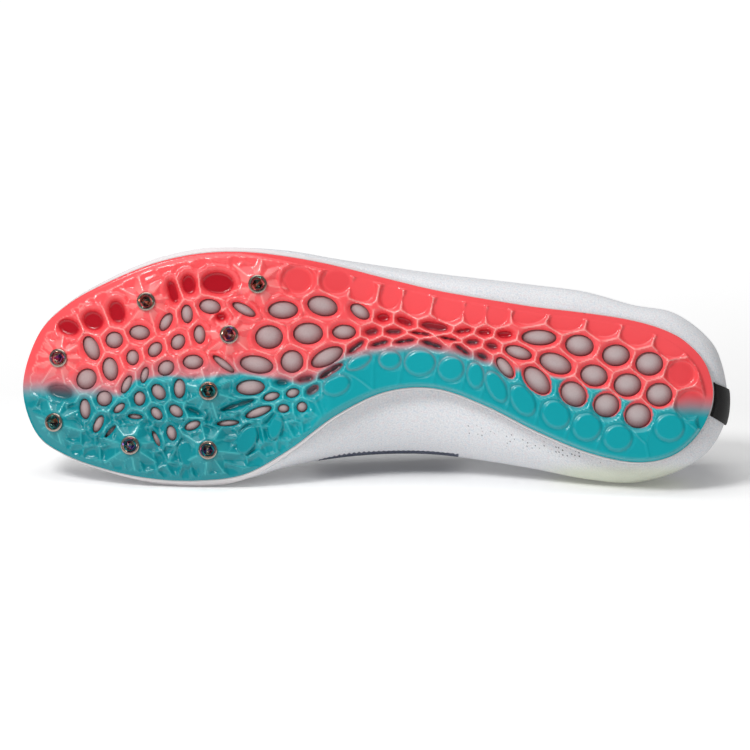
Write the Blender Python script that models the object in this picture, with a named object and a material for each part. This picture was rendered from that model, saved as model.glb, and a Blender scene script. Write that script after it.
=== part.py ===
"""A left track spike shoe that lies on its inner side, made piece by piece.

The shoe is modelled standing on its sole: +Z up, toe towards -X, inner side towards +Y.
An empty then turns all pieces onto the inner side, where sole edge, heel and collar touch the floor.
Plan shapes are drawn on a squared chart, seen from below with the toe at the left and the inner
side at the bottom. The chart is scaled by the plate's length and by its width across the ball.
"""
import math

import bmesh
import bpy
import numpy as np
from mathutils import Matrix, Vector
from mathutils.geometry import delaunay_2d_cdt

# Driving sizes of the sole, in metres
PLATE_LENGTH = 0.2770
BALL_WIDTH = 0.0912
TOE_SPRING = 0.0125
ARCH_LIFT = 0.0035
HEEL_LIFT = 0.0020
SKIN = 0.0014
RIB_RISE = 0.0026
EDGE_STEP = 0.0009
RIB_SLOPE = 1.0
COIN_DEPTH = 0.0008
RIM_BAND_OUTER = 0.0042
RIM_BAND_INNER = 0.0014
FOAM_FORE = 0.0035
FOAM_HEEL = 0.0070
INSOLE_THICK = 0.0030
INSOLE_SPREAD = 0.35

# Driving sizes of the upper, in metres
HEEL_HEIGHT = 0.0680
INSTEP_HEIGHT = 0.0720
LEVEL_FROM = 0.0080
LEVEL_OVER = 0.0220
WALL = 0.0015
COLLAR_WALL = 0.0040
TONGUE_THICK = 0.0030
TONGUE_RISE = 0.0150
TONGUE_BACK = 0.0170
EYESTAY_THICK = 0.0008
TAPE_THICK = 0.0008
LACE_WIDTH = 0.0050
LACE_THICK = 0.0012
LACE_ARCH = 0.0030

# Driving sizes of the spikes, in metres
SEAT_RADIUS = 0.0037
SEAT_BORE = 0.0026
SEAT_HEIGHT = 0.0012
SPIKE_LENGTH = 0.0068
SPIKE_RADIUS = 0.0021
SPIKE_FOOT = 0.0010
BOSS_RADIUS = 0.0045
BOSS_RISE = 0.0034
BOSS_SLOPE = 0.8

# Clearance between pieces that touch
GAP = 0.0003

# Chart frame: toe tip and heel end of the plate, its axis, and its width across the ball
CHART_TOE, CHART_HEEL = 21, 713.5
CHART_AXIS = 388
CHART_BALL = 228
CHART_LONG = CHART_HEEL - CHART_TOE
UNIT_X = PLATE_LENGTH / CHART_LONG
UNIT_Y = BALL_WIDTH / CHART_BALL
UNIT = (UNIT_X + UNIT_Y) / 2

# Folds of the last, from the heel's middle by the outer side to the toe and back by the inner side.
# Columns: plate x, y; flange of the foam; widest line x, y and its rise as a share of the instep;
# opening's edge x, y and its height as a share of the heel (rows marked H) or instep (rows marked I).
FOLDS = (
    (713.5, 393, 1.5, 731, 402, 0.16, 716, 399, 1.00, "H"),
    (705.5, 363.5, 2.0, 725.5, 365, 0.16, 709, 366, 0.99, "H"),
    (686, 342, 2.0, 711.5, 338, 0.16, 692, 345, 0.95, "H"),
    (663, 329.5, 2.0, 677, 312.5, 0.15, 664, 329, 0.89, "H"),
    (630, 320, 2.0, 634, 304, 0.14, 630, 320, 0.84, "H"),
    (585, 313, 2.0, 587, 291, 0.14, 588, 317, 0.81, "H"),
    (535, 307, 2.0, 535, 284, 0.16, 543, 320, 0.80, "I"),
    (485, 299, 2.0, 485, 278, 0.19, 503, 329, 0.90, "I"),
    (435, 290, 2.0, 435, 272, 0.21, 468, 339, 1.00, "I"),
    (385, 278, 2.5, 385, 265, 0.20, 425, 342, 0.95, "I"),
    (335, 265.5, 3.0, 335, 257.5, 0.17, 375, 346, 0.87, "I"),
    (290, 257, 4.0, 290, 250, 0.14, 325, 350, 0.79, "I"),
    (245, 252, 4.5, 245, 247, 0.12, 280, 354, 0.72, "I"),
    (200, 253.5, 5.0, 200, 248, 0.10, 245, 359, 0.675, "I"),
    (155, 263, 4.5, 155, 258, 0.10, 222, 364, 0.655, "I"),
    (110, 281, 3.5, 110, 277, 0.10, 214, 368, 0.648, "I"),
    (68, 303.5, 1.5, 69, 302, 0.10, 211, 371, 0.645, "I"),
    (37, 334.5, 0.5, 39, 335, 0.11, 210, 373, 0.643, "I"),
    (21, 386, 0.0, 24, 386, 0.12, 209.5, 375, 0.642, "I"),
    (34, 432, 0.5, 37, 431, 0.11, 210, 377, 0.643, "I"),
    (65, 455, 1.5, 66, 456, 0.10, 211, 379, 0.645, "I"),
    (110, 470.5, 2.5, 110, 472, 0.09, 214, 382, 0.648, "I"),
    (155, 479, 4.5, 155, 481, 0.08, 222, 386, 0.655, "I"),
    (200, 480.5, 6.0, 200, 484, 0.08, 245, 391, 0.675, "I"),
    (245, 474, 5.0, 245, 479.5, 0.12, 280, 396, 0.72, "I"),
    (290, 449, 3.5, 290, 467, 0.24, 325, 400, 0.79, "I"),
    (335, 416, 2.5, 335, 459.5, 0.36, 375, 404, 0.87, "I"),
    (385, 392, 2.0, 385, 455.5, 0.43, 425, 408, 0.95, "I"),
    (435, 388.5, 2.0, 435, 456, 0.45, 468, 413, 1.00, "I"),
    (485, 405.5, 2.0, 485, 462, 0.40, 503, 428, 0.90, "I"),
    (535, 430.5, 2.0, 535, 470, 0.30, 543, 449, 0.80, "I"),
    (585, 451.5, 2.0, 587, 480, 0.20, 588, 464, 0.81, "H"),
    (630, 462, 2.0, 632, 484, 0.17, 630, 467, 0.84, "H"),
    (664, 459, 2.0, 673, 475, 0.16, 664, 460, 0.89, "H"),
    (689, 444.5, 2.0, 706, 457, 0.16, 692, 442, 0.95, "H"),
    (706, 421.5, 2.0, 724.5, 432, 0.16, 709, 424, 0.99, "H"),
)

# Cells of the honeycomb plate. Columns: x, y, half length, half width, turn in degrees
WINDOWS = (
    (91, 348, 13, 7.5, 65), (114, 340, 9, 8.5, 0), (132.5, 357.5, 8, 6.5, 90),
    (110, 369, 12, 8, 80), (86, 379, 11, 10, -50), (126.5, 384.5, 10, 4.5, -65),
    (104, 398.5, 8, 8, 0), (84.5, 409, 10.5, 5.5, 85), (119, 408, 7, 4, -40),
    (98, 424, 9.5, 4.5, -65), (110, 431.5, 8, 2, -48), (135, 416.5, 7.5, 2.8, 5),
    (139.5, 332.5, 10.5, 7.5, 5), (166, 322, 10, 5.5, -60), (187, 314, 9.5, 6, 85),
    (199.5, 334.5, 9.5, 6, 85), (178, 342, 8.5, 7, -60), (155, 349.5, 8.5, 6.5, -50),
    (193, 362, 10.5, 7.5, 0), (166, 368, 8.8, 7.5, -35), (144.5, 375, 8.5, 4, -75),
    (223.5, 364, 13.5, 3.8, 38), (210, 306.5, 11, 7.5, 10), (244, 309.5, 13, 5, 28),
    (139.5, 398.5, 7.5, 6, 90), (158.5, 392, 9, 6.5, 55), (179.5, 388.5, 10, 6, 90),
    (156.5, 413.5, 7.5, 5, 50), (176, 411, 8, 5.5, 40), (171.5, 433, 8, 5, 75),
    (156, 438.5, 8.5, 2.5, 65), (192.5, 425.5, 8.5, 4.5, -22), (228, 423, 11.5, 3.2, -4),
    (250.5, 387.5, 14.5, 8, -3), (283, 310, 15, 9, 0), (322.5, 306, 15.5, 10, 15),
    (269, 337, 14, 12, 0), (308, 333.5, 15, 11, 0), (344, 332, 12, 7.5, 0),
    (256.5, 364.5, 17, 9, 10), (292, 361.5, 11.5, 11.5, 0), (327, 357, 17.5, 8.5, -27),
    (360, 311.5, 11, 6.5, 35), (271.5, 396.5, 8.5, 4.5, -15), (292.7, 393, 7, 4.8, -15),
    (258.5, 412, 14, 4.8, -20), (283.5, 408.5, 6, 4.5, 0), (302, 407, 5.5, 5.5, 0),
    (505, 367.5, 12.5, 6, 52), (518.5, 352.5, 14, 6.5, 18), (539, 337.5, 17.5, 8, 2),
    (555.5, 363.5, 17, 10, 22), (579.5, 345.5, 14.5, 10.8, 10), (616, 355.3, 14, 11, 0),
    (649.3, 363.8, 14, 12, 0), (537, 380.5, 17, 10, 48), (573.5, 394, 14.5, 11.5, 42),
    (594, 375.5, 14, 11, 15), (627.5, 385, 14, 11.8, 0), (659.3, 394.7, 13.3, 12, 0),
    (606.5, 405.3, 13, 12.3, 0), (638, 415.7, 13.3, 12.7, 0),
)
POCKETS = (
    (68, 327, 12, 9, 20), (93, 320.5, 11.5, 10.5, 30), (117, 312, 12.5, 9, 75),
    (60, 392, 13.5, 8, 15), (221, 317, 6, 5, 0), (173, 292, 12.5, 5.5, 75),
    (189, 284.5, 11, 8, 80), (218, 283, 17, 12, 5), (194, 411.5, 8, 3.2, 25),
    (238, 405, 18, 3.3, -18), (298, 280, 14, 12.5, 0), (337, 281, 14, 11.5, 0),
    (282, 382.5, 7, 4.3, 0), (305.5, 379, 9, 4.3, -10), (312.7, 390, 8, 4.8, -35),
    (331, 371, 14.5, 4, -33), (356, 347, 11, 4, -38), (372, 331.5, 7.8, 4.8, -10),
    (383.3, 317.5, 7.5, 5.4, 0), (405, 321.3, 9.5, 4.8, 22), (435, 326.5, 14.5, 5.4, 10),
    (394, 331.5, 9, 4, 0), (421, 333.4, 10, 2, 8), (449, 338.7, 9, 2, 12),
    (464, 330.8, 8.5, 3.2, -8), (485, 332.3, 7.3, 4, 0), (505, 334.5, 8.5, 4.8, 0),
    (380, 343.3, 9.5, 3.4, -15), (405.3, 341, 10.5, 2.8, -8), (432.5, 344.5, 11.5, 3.6, 18),
    (462.5, 350, 9.5, 3.2, 35), (473, 342, 7.5, 4, 0), (492.3, 346, 6.8, 4.6, 15),
    (482.5, 356.5, 6.8, 4.5, 25), (681, 373.5, 13, 12, 0), (691, 403.5, 13.5, 12.5, 0),
)
SCALLOPS = (
    (363, 289, 11, 12, -20), (391, 296, 9, 12, 0), (417, 301, 12.5, 13, 0),
    (449, 308, 14, 13, 0), (475, 312, 9.5, 12, 0), (498, 314, 10, 11, 10),
    (530, 315, 16, 8, -5), (567, 321, 16, 9, 0), (604, 326, 15, 9.5, 5),
    (638, 333, 15, 11, 0), (671, 345, 15, 10.5, 25),
)
COINS = (
    (186, 454, 13, 7, 80), (247, 440, 15, 9, -65), (275.5, 427, 12.5, 6.5, -75),
    (336.5, 385.5, 13, 9, -20), (359, 362, 12.5, 5.5, -28), (390, 360, 10, 8.5, 0),
    (420, 363, 14.5, 12, 0), (451, 369, 12, 11.5, 0), (475.5, 375.5, 12, 7.5, 85),
    (496.5, 387, 16, 8, 62), (523, 400.5, 16, 10, 58), (556, 414.5, 14.5, 12, 45),
    (587, 427, 13.5, 13, 0), (618, 438, 13.5, 12.5, 0), (669.5, 427.5, 14, 13, 0),
)

# Middle of each spike on the chart
SPIKES = (
    (58, 358), (53.5, 422.5), (130.3, 445.3), (146.3, 301.5),
    (229.2, 334.6), (208.5, 391), (208, 450), (257.7, 284.2),
)

# Fineness of the facets
AROUND = 72
STEPS_PER_FOLD = AROUND // len(FOLDS)
OUTLINE_STEPS = 108
UNDER_ANGLES = (0, 30, 60, 90)
OVER_SHARES = (0.18, 0.38, 0.58, 0.79, 1.0)
ACROSS = (0.12, 0.37, 0.63, 0.88)
WEB_STEP = 10.0
WEB_CLEAR = 2.3
RING_SIDES = 8

# Places along the ring of folds
FIRST_EYELET, LAST_EYELET, EYELET_STEP = 18, 28, 2
THROAT_START = 16
TONGUE_FRONT = 30

# Shares of the sole's length, from the heel: where the toe springs up, where the arch lifts and how
# far, how long the heel's lift is, and where the foam begins to thin and over how much
SPRING_FROM, SPRING_OVER = 0.70, 0.30
ARCH_FROM, ARCH_OVER = 0.30, 0.36
HEEL_OVER = 0.06
THIN_FROM, THIN_OVER = 0.24, 0.38

# Shares that shape each fold's curve over its widest line: its handle there, its handle at the
# collar, and its handle along and below the throat
LEAVE, ARRIVE, ARRIVE_FLAT, ARRIVE_DROP = 0.55, 0.40, 0.45, 0.06

# Where the collar's padding begins on the chart, and the run over which it grows
PADDED_FROM, PADDED_OVER = 495, 60

# Tongue: shares of its width that are left between the padded collar's ends, and its flared top's
# sections as shares of setback, rise and the neck's width
TONGUE_NECK = (0.62, 0.68)
TONGUE_TOP = ((0.35, 0.28, 0.95), (0.62, 0.60, 1.25), (0.88, 0.88, 1.15), (1.0, 1.0, 0.72))

# Weight of each material, in kilograms per cubic metre, for the way the shoe comes to rest
NYLON, FOAM, KNIT, STEEL = 1030, 160, 480, 7800


def clear_scene():
    """Removes the objects of the scene the script is run in."""
    for old in list(bpy.data.objects):
        bpy.data.objects.remove(old, do_unlink=True)


def material(name, colour, roughness, metallic=0.0):
    """A Principled material with one colour, given as linear red, green and blue."""
    made = bpy.data.materials.new(name)
    made.use_nodes = True
    shader = made.node_tree.nodes["Principled BSDF"]
    shader.inputs["Base Color"].default_value = (*colour, 1.0)
    shader.inputs["Roughness"].default_value = roughness
    shader.inputs["Metallic"].default_value = metallic
    return made


def placed(chart_points, height):
    """Chart points and a height in metres, as points of the standing shoe."""
    points = np.atleast_2d(np.asarray(chart_points, float))
    x = (points[:, 0] - (CHART_TOE + CHART_HEEL) / 2) * UNIT_X
    y = (points[:, 1] - CHART_AXIS) * UNIT_Y
    return np.column_stack((x, y, np.broadcast_to(height, x.shape)))


def from_heel(chart_points):
    """Share of the plate's length between its heel end and each chart point."""
    return (CHART_HEEL - np.atleast_2d(chart_points)[:, 0]) / CHART_LONG


def smooth(share):
    """Soft step from 0 to 1."""
    share = np.clip(share, 0.0, 1.0)
    return share * share * (3.0 - 2.0 * share)


def sole_line(chart_points):
    """Height of the ribs' plane: cubic toe spring, a low arch and a little lift at the heel."""
    s = from_heel(chart_points)
    toe = TOE_SPRING * np.clip((s - SPRING_FROM) / SPRING_OVER, 0.0, 1.2) ** 3
    arch = ARCH_LIFT * np.sin(np.pi * np.clip((s - ARCH_FROM) / ARCH_OVER, 0.0, 1.0)) ** 2
    heel = HEEL_LIFT * np.clip((HEEL_OVER - s) / HEEL_OVER, 0.0, 2.0) ** 2
    return toe + arch + heel


def foam_thickness(chart_points):
    """Thickness of the foam, from the heel to the ball."""
    thin = smooth((from_heel(chart_points) - THIN_FROM) / THIN_OVER)
    return FOAM_HEEL + (FOAM_FORE - FOAM_HEEL) * thin


def around(table, count):
    """Closed smooth curve through the rows of a table, read at count even steps."""
    rows = np.asarray(table, float)
    spots = np.arange(count) * len(rows) / count
    k = np.floor(spots).astype(int)
    t = (spots - k)[:, None]
    a, b, c, d = (rows[(k + shift) % len(rows)] for shift in (-1, 0, 1, 2))
    return 0.5 * (2 * b + (c - a) * t + (2 * a - 5 * b + 4 * c - d) * t**2
                  + (3 * b - a - 3 * c + d) * t**3)


def outward(ring):
    """Unit direction out of a closed chart ring that runs from heel by the outer side to the toe."""
    along = np.roll(ring, -1, axis=0) - np.roll(ring, 1, axis=0)
    side = np.column_stack((-along[:, 1], along[:, 0]))
    return side / np.linalg.norm(side, axis=1)[:, None]


def distance_to(points, line):
    """Distance in chart units from each point to a line of chart points."""
    best = np.full(len(points), np.inf)
    for start, end in zip(line[:-1], line[1:]):
        run = end - start
        share = np.clip((points - start) @ run / (run @ run), 0.0, 1.0)
        best = np.minimum(best, np.linalg.norm(points - start - share[:, None] * run, axis=1))
    return best


def beyond(points, cells):
    """Distance in chart units from each point to the edge of the nearest cell, negative inside."""
    best = np.full(len(points), np.inf)
    for x, y, long, wide, turn in cells:
        cos, sin = math.cos(math.radians(turn)), math.sin(math.radians(turn))
        dx, dy = points[:, 0] - x, points[:, 1] - y
        share = np.hypot((dx * cos + dy * sin) / long, (dy * cos - dx * sin) / wide)
        share = np.maximum(share, 1e-3)
        best = np.minimum(best, np.hypot(dx, dy) * (1.0 - 1.0 / share))
    return best


def ellipse(cell, share, count):
    """Points of a cell's edge, grown or shrunk by a share."""
    x, y, long, wide, turn = cell
    angle = np.arange(count) * 2 * np.pi / count
    cos, sin = math.cos(math.radians(turn)), math.sin(math.radians(turn))
    p, q = share * long * np.cos(angle), share * wide * np.sin(angle)
    return np.column_stack((x + p * cos - q * sin, y + p * sin + q * cos))


def circle(spot, radius, count):
    """Points of a circle with a radius in metres round a chart spot."""
    angle = np.arange(count) * 2 * np.pi / count
    return np.column_stack((spot[0] + radius / UNIT_X * np.cos(angle),
                            spot[1] + radius / UNIT_Y * np.sin(angle)))


PLATE_EDGE = around([row[0:2] for row in FOLDS], OUTLINE_STEPS)
TOE_PLACE = OUTLINE_STEPS // 2
INNER_EDGE = PLATE_EDGE[TOE_PLACE + 6:OUTLINE_STEPS - 3]
OUTER_EDGE = np.vstack((PLATE_EDGE[OUTLINE_STEPS - 3:], PLATE_EDGE[:TOE_PLACE + 7]))


def plate_back(points):
    """Height of the plate's smooth back."""
    return sole_line(points) + SKIN + RIB_RISE


def relief(points):
    """Rise of the ribs over the plate's skin: ridges midway between cells, coins, rim and bosses."""
    low = beyond(points, WINDOWS + POCKETS + SCALLOPS) * UNIT
    rise = np.clip(EDGE_STEP + RIB_SLOPE * low, 0.0, RIB_RISE)
    sunk = COIN_DEPTH * smooth(-beyond(points, COINS) / 1.5)
    rise = np.minimum(rise, RIB_RISE - sunk)
    rim = np.minimum(distance_to(points, OUTER_EDGE) * UNIT / RIM_BAND_OUTER,
                     distance_to(points, INNER_EDGE) * UNIT / RIM_BAND_INNER)
    rise = rise * smooth(rim)
    for spot in SPIKES:
        away = np.hypot((points[:, 0] - spot[0]) * UNIT_X, (points[:, 1] - spot[1]) * UNIT_Y)
        boss = BOSS_RISE - BOSS_SLOPE * np.maximum(away - BOSS_RADIUS - GAP, 0.0)
        rise = np.maximum(rise, boss)
    return rise


def web_points(fixed):
    """Crests of the web: the spots farthest from any cell, none nearer than a step to another."""
    x = np.arange(CHART_TOE, CHART_HEEL, 1.5)
    y = np.arange(CHART_AXIS - CHART_BALL * 0.6, CHART_AXIS + CHART_BALL * 0.5, 1.5)
    spots = np.array(np.meshgrid(x, y)).reshape(2, -1).T
    spots = spots[inside(spots, PLATE_EDGE)]
    spots = spots[distance_to(spots, np.vstack((PLATE_EDGE, PLATE_EDGE[:1]))) > WEB_CLEAR]
    clear = beyond(spots, WINDOWS + POCKETS + SCALLOPS + COINS)
    near = np.array([np.min(np.hypot(*(fixed - spot).T)) for spot in spots])
    spots, clear = spots[near > WEB_CLEAR], clear[near > WEB_CLEAR]
    chosen = []
    while len(spots):
        best = spots[np.argmax(clear)]
        chosen.append(best)
        away = np.hypot(*(spots - best).T) > WEB_STEP
        spots, clear = spots[away], clear[away]
    return np.array(chosen)


def cross_points():
    """Spots on lines across the plate, clear of its windows, that carry the bend of its back."""
    spots = [PLATE_EDGE[i] + (PLATE_EDGE[-i] - PLATE_EDGE[i]) * share
             for i in range(3, TOE_PLACE - 1, 2) for share in (0.25, 0.5, 0.75)]
    spots = np.array(spots)
    return spots[beyond(spots, WINDOWS) > WEB_CLEAR]


def inside(points, ring):
    """True for each point inside a closed ring, by counting the edges that a ray crosses."""
    count = np.zeros(len(points), int)
    for (ax, ay), (bx, by) in zip(ring, np.roll(ring, -1, axis=0)):
        if ay == by:
            continue
        spans = (ay > points[:, 1]) != (by > points[:, 1])
        cross = ax + (points[:, 1] - ay) * (bx - ax) / (by - ay)
        count += spans & (points[:, 0] < cross)
    return count % 2 == 1


def sheet(loops, loose):
    """Triangles between an outline and its holes, which are the first loops' closed edges."""
    points = np.vstack([*loops, loose])
    edges, start = [], 0
    for loop in loops:
        ids = np.arange(start, start + len(loop))
        edges += list(zip(ids.tolist(), np.roll(ids, -1).tolist()))
        start += len(loop)
    flat = [Vector(p) for p in points.tolist()]
    spots, _, faces, origin, _, _ = delaunay_2d_cdt(flat, edges, [], 1, 1e-4)
    spots = np.array([tuple(p) for p in spots])
    faces = np.array(faces)
    middle = spots[faces].mean(axis=1)
    keep = np.ones(len(faces), bool)
    for hole in loops[1:]:
        keep &= ~inside(middle, hole)
    place = {old: new for new, olds in enumerate(origin) for old in olds}
    ring_ids, start = [], 0
    for loop in loops:
        ring_ids.append([place[start + step] for step in range(len(loop))])
        start += len(loop)
    return spots, faces[keep], ring_ids


def add_object(name, bm, look, sharp=40):
    """Closes off a bmesh as a named object with its material and smooth shading."""
    bmesh.ops.recalc_face_normals(bm, faces=bm.faces)
    mesh = bpy.data.meshes.new(name)
    bm.to_mesh(mesh)
    bm.free()
    mesh.materials.append(look)
    mesh.shade_smooth()
    mesh.set_sharp_from_angle(angle=math.radians(sharp))
    made = bpy.data.objects.new(name, mesh)
    bpy.context.collection.objects.link(made)
    return made


def loft(name, sections, look, closed=False):
    """Skin over a row of closed sections with equal point counts; its ends meet or are capped."""
    bm = bmesh.new()
    rings = [[bm.verts.new(p) for p in section] for section in sections]
    pairs = list(zip(rings, rings[1:]))
    if closed:
        pairs.append((rings[-1], rings[0]))
    for one, two in pairs:
        for i in range(len(one)):
            j = (i + 1) % len(one)
            bm.faces.new((one[i], one[j], two[j], two[i]))
    if not closed:
        cap_strip(bm, rings[0])
        cap_strip(bm, rings[-1])
    return add_object(name, bm, look)


def cap_strip(bm, ring):
    """Closes a flat section, whose halves run side by side, with strips between them."""
    last = len(ring) - 1
    for i in range(len(ring) // 2 - 1):
        bm.faces.new((ring[i], ring[i + 1], ring[last - i - 1], ring[last - i]))


def stitch(bm, one, two):
    """Faces between two rows of points, where an end row may be a single point."""
    if len(one) == 1:
        for a, b in zip(two, two[1:]):
            bm.faces.new((one[0], a, b))
    elif len(two) == 1:
        for a, b in zip(one, one[1:]):
            bm.faces.new((a, b, two[0]))
    else:
        for a, b, c, d in zip(one, one[1:], two[1:], two):
            bm.faces.new((a, b, c, d))


def fill(bm, ring, height):
    """Fills a ring with strips from its outer to its inner side, at the height of each chart spot."""
    count = len(ring)
    rows = [[ring[0]]]
    for i in range(1, count // 2):
        one, two = ring[i].co, ring[count - i].co
        row = [ring[i]]
        for share in ACROSS:
            spot = one.lerp(two, share)
            chart = (spot.x / UNIT_X + (CHART_TOE + CHART_HEEL) / 2, spot.y / UNIT_Y + CHART_AXIS)
            spot.z = float(height(np.array([chart]))[0])
            row.append(bm.verts.new(spot))
        rows.append(row + [ring[count - i]])
    rows.append([ring[count // 2]])
    for one, two in zip(rows, rows[1:]):
        stitch(bm, one, two)


def layered(name, rings, floor, top, look):
    """A flat piece with an edge of several rings, filled below and above."""
    bm = bmesh.new()
    made = [[bm.verts.new(p) for p in ring] for ring in rings]
    for one, two in zip(made, made[1:]):
        for i in range(len(one)):
            j = (i + 1) % len(one)
            bm.faces.new((one[i], one[j], two[j], two[i]))
    fill(bm, made[0], floor)
    fill(bm, made[-1], top)
    return add_object(name, bm, look)


def make_plate(look):
    """Honeycomb spike plate: its ribbed underside and flat back are joined along every hole."""
    holes = [ellipse(cell, 1.0, 8 if cell[3] < 8 else 10) for cell in WINDOWS]
    rings = [ellipse(cell, 1.0, 7) for cell in POCKETS + SCALLOPS]
    rings += [ellipse(cell, 0.72, 5) for cell in POCKETS]
    rings += [ellipse(cell, 1.0, 7) for cell in COINS]
    rings += [ellipse(cell, 0.86, 7) for cell in COINS]
    for spot in SPIKES:
        rings.append(circle(spot, BOSS_RADIUS, 8))
        rings.append(circle(spot, BOSS_RADIUS + 0.4 * BOSS_RISE / BOSS_SLOPE, 8))
    loose = np.vstack(rings)
    loose = loose[beyond(loose, WINDOWS) > 1.0]
    loose = loose[distance_to(loose, np.vstack((PLATE_EDGE, PLATE_EDGE[:1]))) > 1.2]
    loose = loose[inside(loose, PLATE_EDGE)]
    web = web_points(np.vstack((loose, *holes)))
    bm = bmesh.new()
    sides = []
    back_grid = cross_points()
    for extra, ribbed in ((np.vstack((loose, web)), True), (back_grid, False)):
        spots, faces, ring_ids = sheet([PLATE_EDGE, *holes], extra)
        height = plate_back(spots)
        if ribbed:
            height = height - SKIN - relief(spots)
        verts = [bm.verts.new(p) for p in placed(spots, height)]
        for face in faces:
            order = face if ribbed else face[::-1]
            bm.faces.new([verts[i] for i in order])
        sides.append([[verts[i] for i in ring] for ring in ring_ids])
    for low, high in zip(*sides):
        for i in range(len(low)):
            j = (i + 1) % len(low)
            bm.faces.new((low[i], low[j], high[j], high[i]))
    return add_object("outsole_plate", bm, look, 30)


def foam_top(points):
    """Height of the foam's upper face."""
    return plate_back(points) + GAP + foam_thickness(points)


def fold_columns(count):
    """The folds' columns read round the last: plate edge, foam edge, widest line and opening."""
    numbers = []
    for row in FOLDS:
        height = row[8] * (HEEL_HEIGHT if row[9] == "H" else INSTEP_HEIGHT)
        numbers.append((*row[:5], row[5] * INSTEP_HEIGHT, *row[6:8], height))
    columns = around(numbers, count)
    edge = columns[:, 0:2]
    foam = edge + outward(edge) * columns[:, 2:3]
    return edge, foam, columns[:, 3:6], columns[:, 6:9]


def upper_grid(count):
    """Outer face of the upper as rings from the foam's edge to the opening, and its inward normals.

    Below the widest line each fold is a quarter round that starts level at the foam's edge. Above it
    runs a cubic curve that leaves upright and arrives level at the throat, or upright at the collar.
    """
    _, foam, wide, rim = fold_columns(count)
    base = placed(foam, foam_top(foam) + GAP)
    belly = placed(wide[:, :2], base[:, 2] + wide[:, 2])
    edge = placed(rim[:, :2], rim[:, 2])
    rings = []
    for angle in UNDER_ANGLES:
        turn = math.radians(angle)
        ring = base + (belly - base) * math.sin(turn)
        ring[:, 2] = base[:, 2] + (belly[:, 2] - base[:, 2]) * (1.0 - math.cos(turn))
        rings.append(ring)
    flat = belly - edge
    flat[:, 2] = 0.0
    rise = edge[:, 2] - belly[:, 2]
    level = smooth((np.linalg.norm(flat, axis=1) - LEVEL_FROM) / LEVEL_OVER)[:, None]
    upright = np.zeros_like(belly)
    upright[:, 2] = rise
    leave = belly + LEAVE * upright
    arrive = edge - ARRIVE * (1.0 - level) * upright
    arrive += level * (ARRIVE_FLAT * flat - ARRIVE_DROP * upright)
    for t in OVER_SHARES:
        rings.append((1 - t)**3 * belly + 3 * (1 - t)**2 * t * leave
                     + 3 * (1 - t) * t**2 * arrive + t**3 * edge)
    grid = np.array(rings)
    along = np.roll(grid, -1, axis=1) - np.roll(grid, 1, axis=1)
    climb = np.gradient(grid, axis=0)
    inward = np.cross(along, climb)
    inward /= np.linalg.norm(inward, axis=2)[:, :, None]
    inward[0, :, :2] = -outward(foam)
    inward[0, :, 2] = 0.0
    return grid, inward


def wall_thickness(count):
    """Wall of the knit at each ring and fold, with a padded collar round the ankle."""
    _, _, _, rim = fold_columns(count)
    padded = smooth((rim[:, 0] - PADDED_FROM) / PADDED_OVER)
    rings = len(UNDER_ANGLES) + len(OVER_SHARES)
    climb = smooth((np.arange(rings) - len(UNDER_ANGLES) + 0.5) / 3.0)
    return WALL + (COLLAR_WALL - WALL) * climb[:, None] * padded[None, :]


def make_upper(look, grid, inner):
    """Hollow shell: every fold's outer and inner line, closed at the opening and at the foam."""
    sections = [list(grid[:, i]) + list(inner[::-1, i]) for i in range(AROUND)]
    return loft("upper", sections, look, closed=True)


def make_midsole(look):
    """Foam between plate and upper, with a thin lip that shows round the plate."""
    edge, foam, _, _ = fold_columns(AROUND)
    lip = edge + outward(edge) * np.minimum(1.0, np.linalg.norm(foam - edge, axis=1))[:, None]
    rings = [placed(lip, plate_back(edge) + GAP),
             placed(foam, foam_top(foam) - 0.4 * foam_thickness(foam)),
             placed(foam, foam_top(foam))]
    return layered("midsole", rings, lambda p: plate_back(p) + GAP, foam_top, look)


def make_insole(look, inner, inward):
    """Insole that lies on the foam inside the upper and turns up at its edge."""
    out = -inward[0]
    reach = np.array([np.einsum("ij,ij->i", ring - inner[0], out) for ring in inner[1:4]])
    lean = np.minimum(reach.min(axis=0), 0.0)[:, None]
    low = inner[0] + out * (lean - GAP)
    low[:, 2] += GAP
    high = low + out * INSOLE_SPREAD * np.maximum(reach[0], 0.0)[:, None]
    high[:, 2] = low[:, 2] + INSOLE_THICK
    rings = [low, high]
    return layered("insole", rings, lambda p: foam_top(p) + 2 * GAP,
                   lambda p: foam_top(p) + 2 * GAP + INSOLE_THICK, look)


def make_tongue(look, inner, inward):
    """Tongue under the throat's edges, which narrows above them and ends round over the collar."""
    tucked = inner + inward * GAP
    sections = []
    for i in range(TONGUE_FRONT, THROAT_START - 1, -STEPS_PER_FOLD // 2):
        j = (AROUND - i) % AROUND
        sides = [tucked[-2, i], tucked[-1, i], tucked[-1, j], tucked[-2, j]]
        if i < FIRST_EYELET:
            sides = narrowed(sides, TONGUE_NECK[i - THROAT_START])
        sections.append(tongue_section(sides))
    last = sides
    for back, up, width in TONGUE_TOP:
        moved = [p + np.array((TONGUE_BACK * back, 0.0, TONGUE_RISE * up))
                 for p in narrowed(last, width)]
        sections.append(tongue_section(moved))
    return loft("tongue", sections, look)


def narrowed(sides, share):
    """The same cross points drawn in towards their middle."""
    middle = np.mean(sides, axis=0)
    return [np.array((p[0], middle[1] + (p[1] - middle[1]) * share, p[2])) for p in sides]


def tongue_section(sides):
    """Closed section of the tongue: crowned top between the four side points, and its underside."""
    a, b, c, d = sides
    crown = np.array((0.0, 0.0, WALL + GAP))
    top = [a, b]
    for share in (0.3, 0.5, 0.7):
        top.append(b + (c - b) * share + crown * 4 * share * (1 - share))
    top += [c, d]
    low = [p - np.array((0.0, 0.0, TONGUE_THICK)) for p in top]
    return top + low[::-1]


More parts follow.
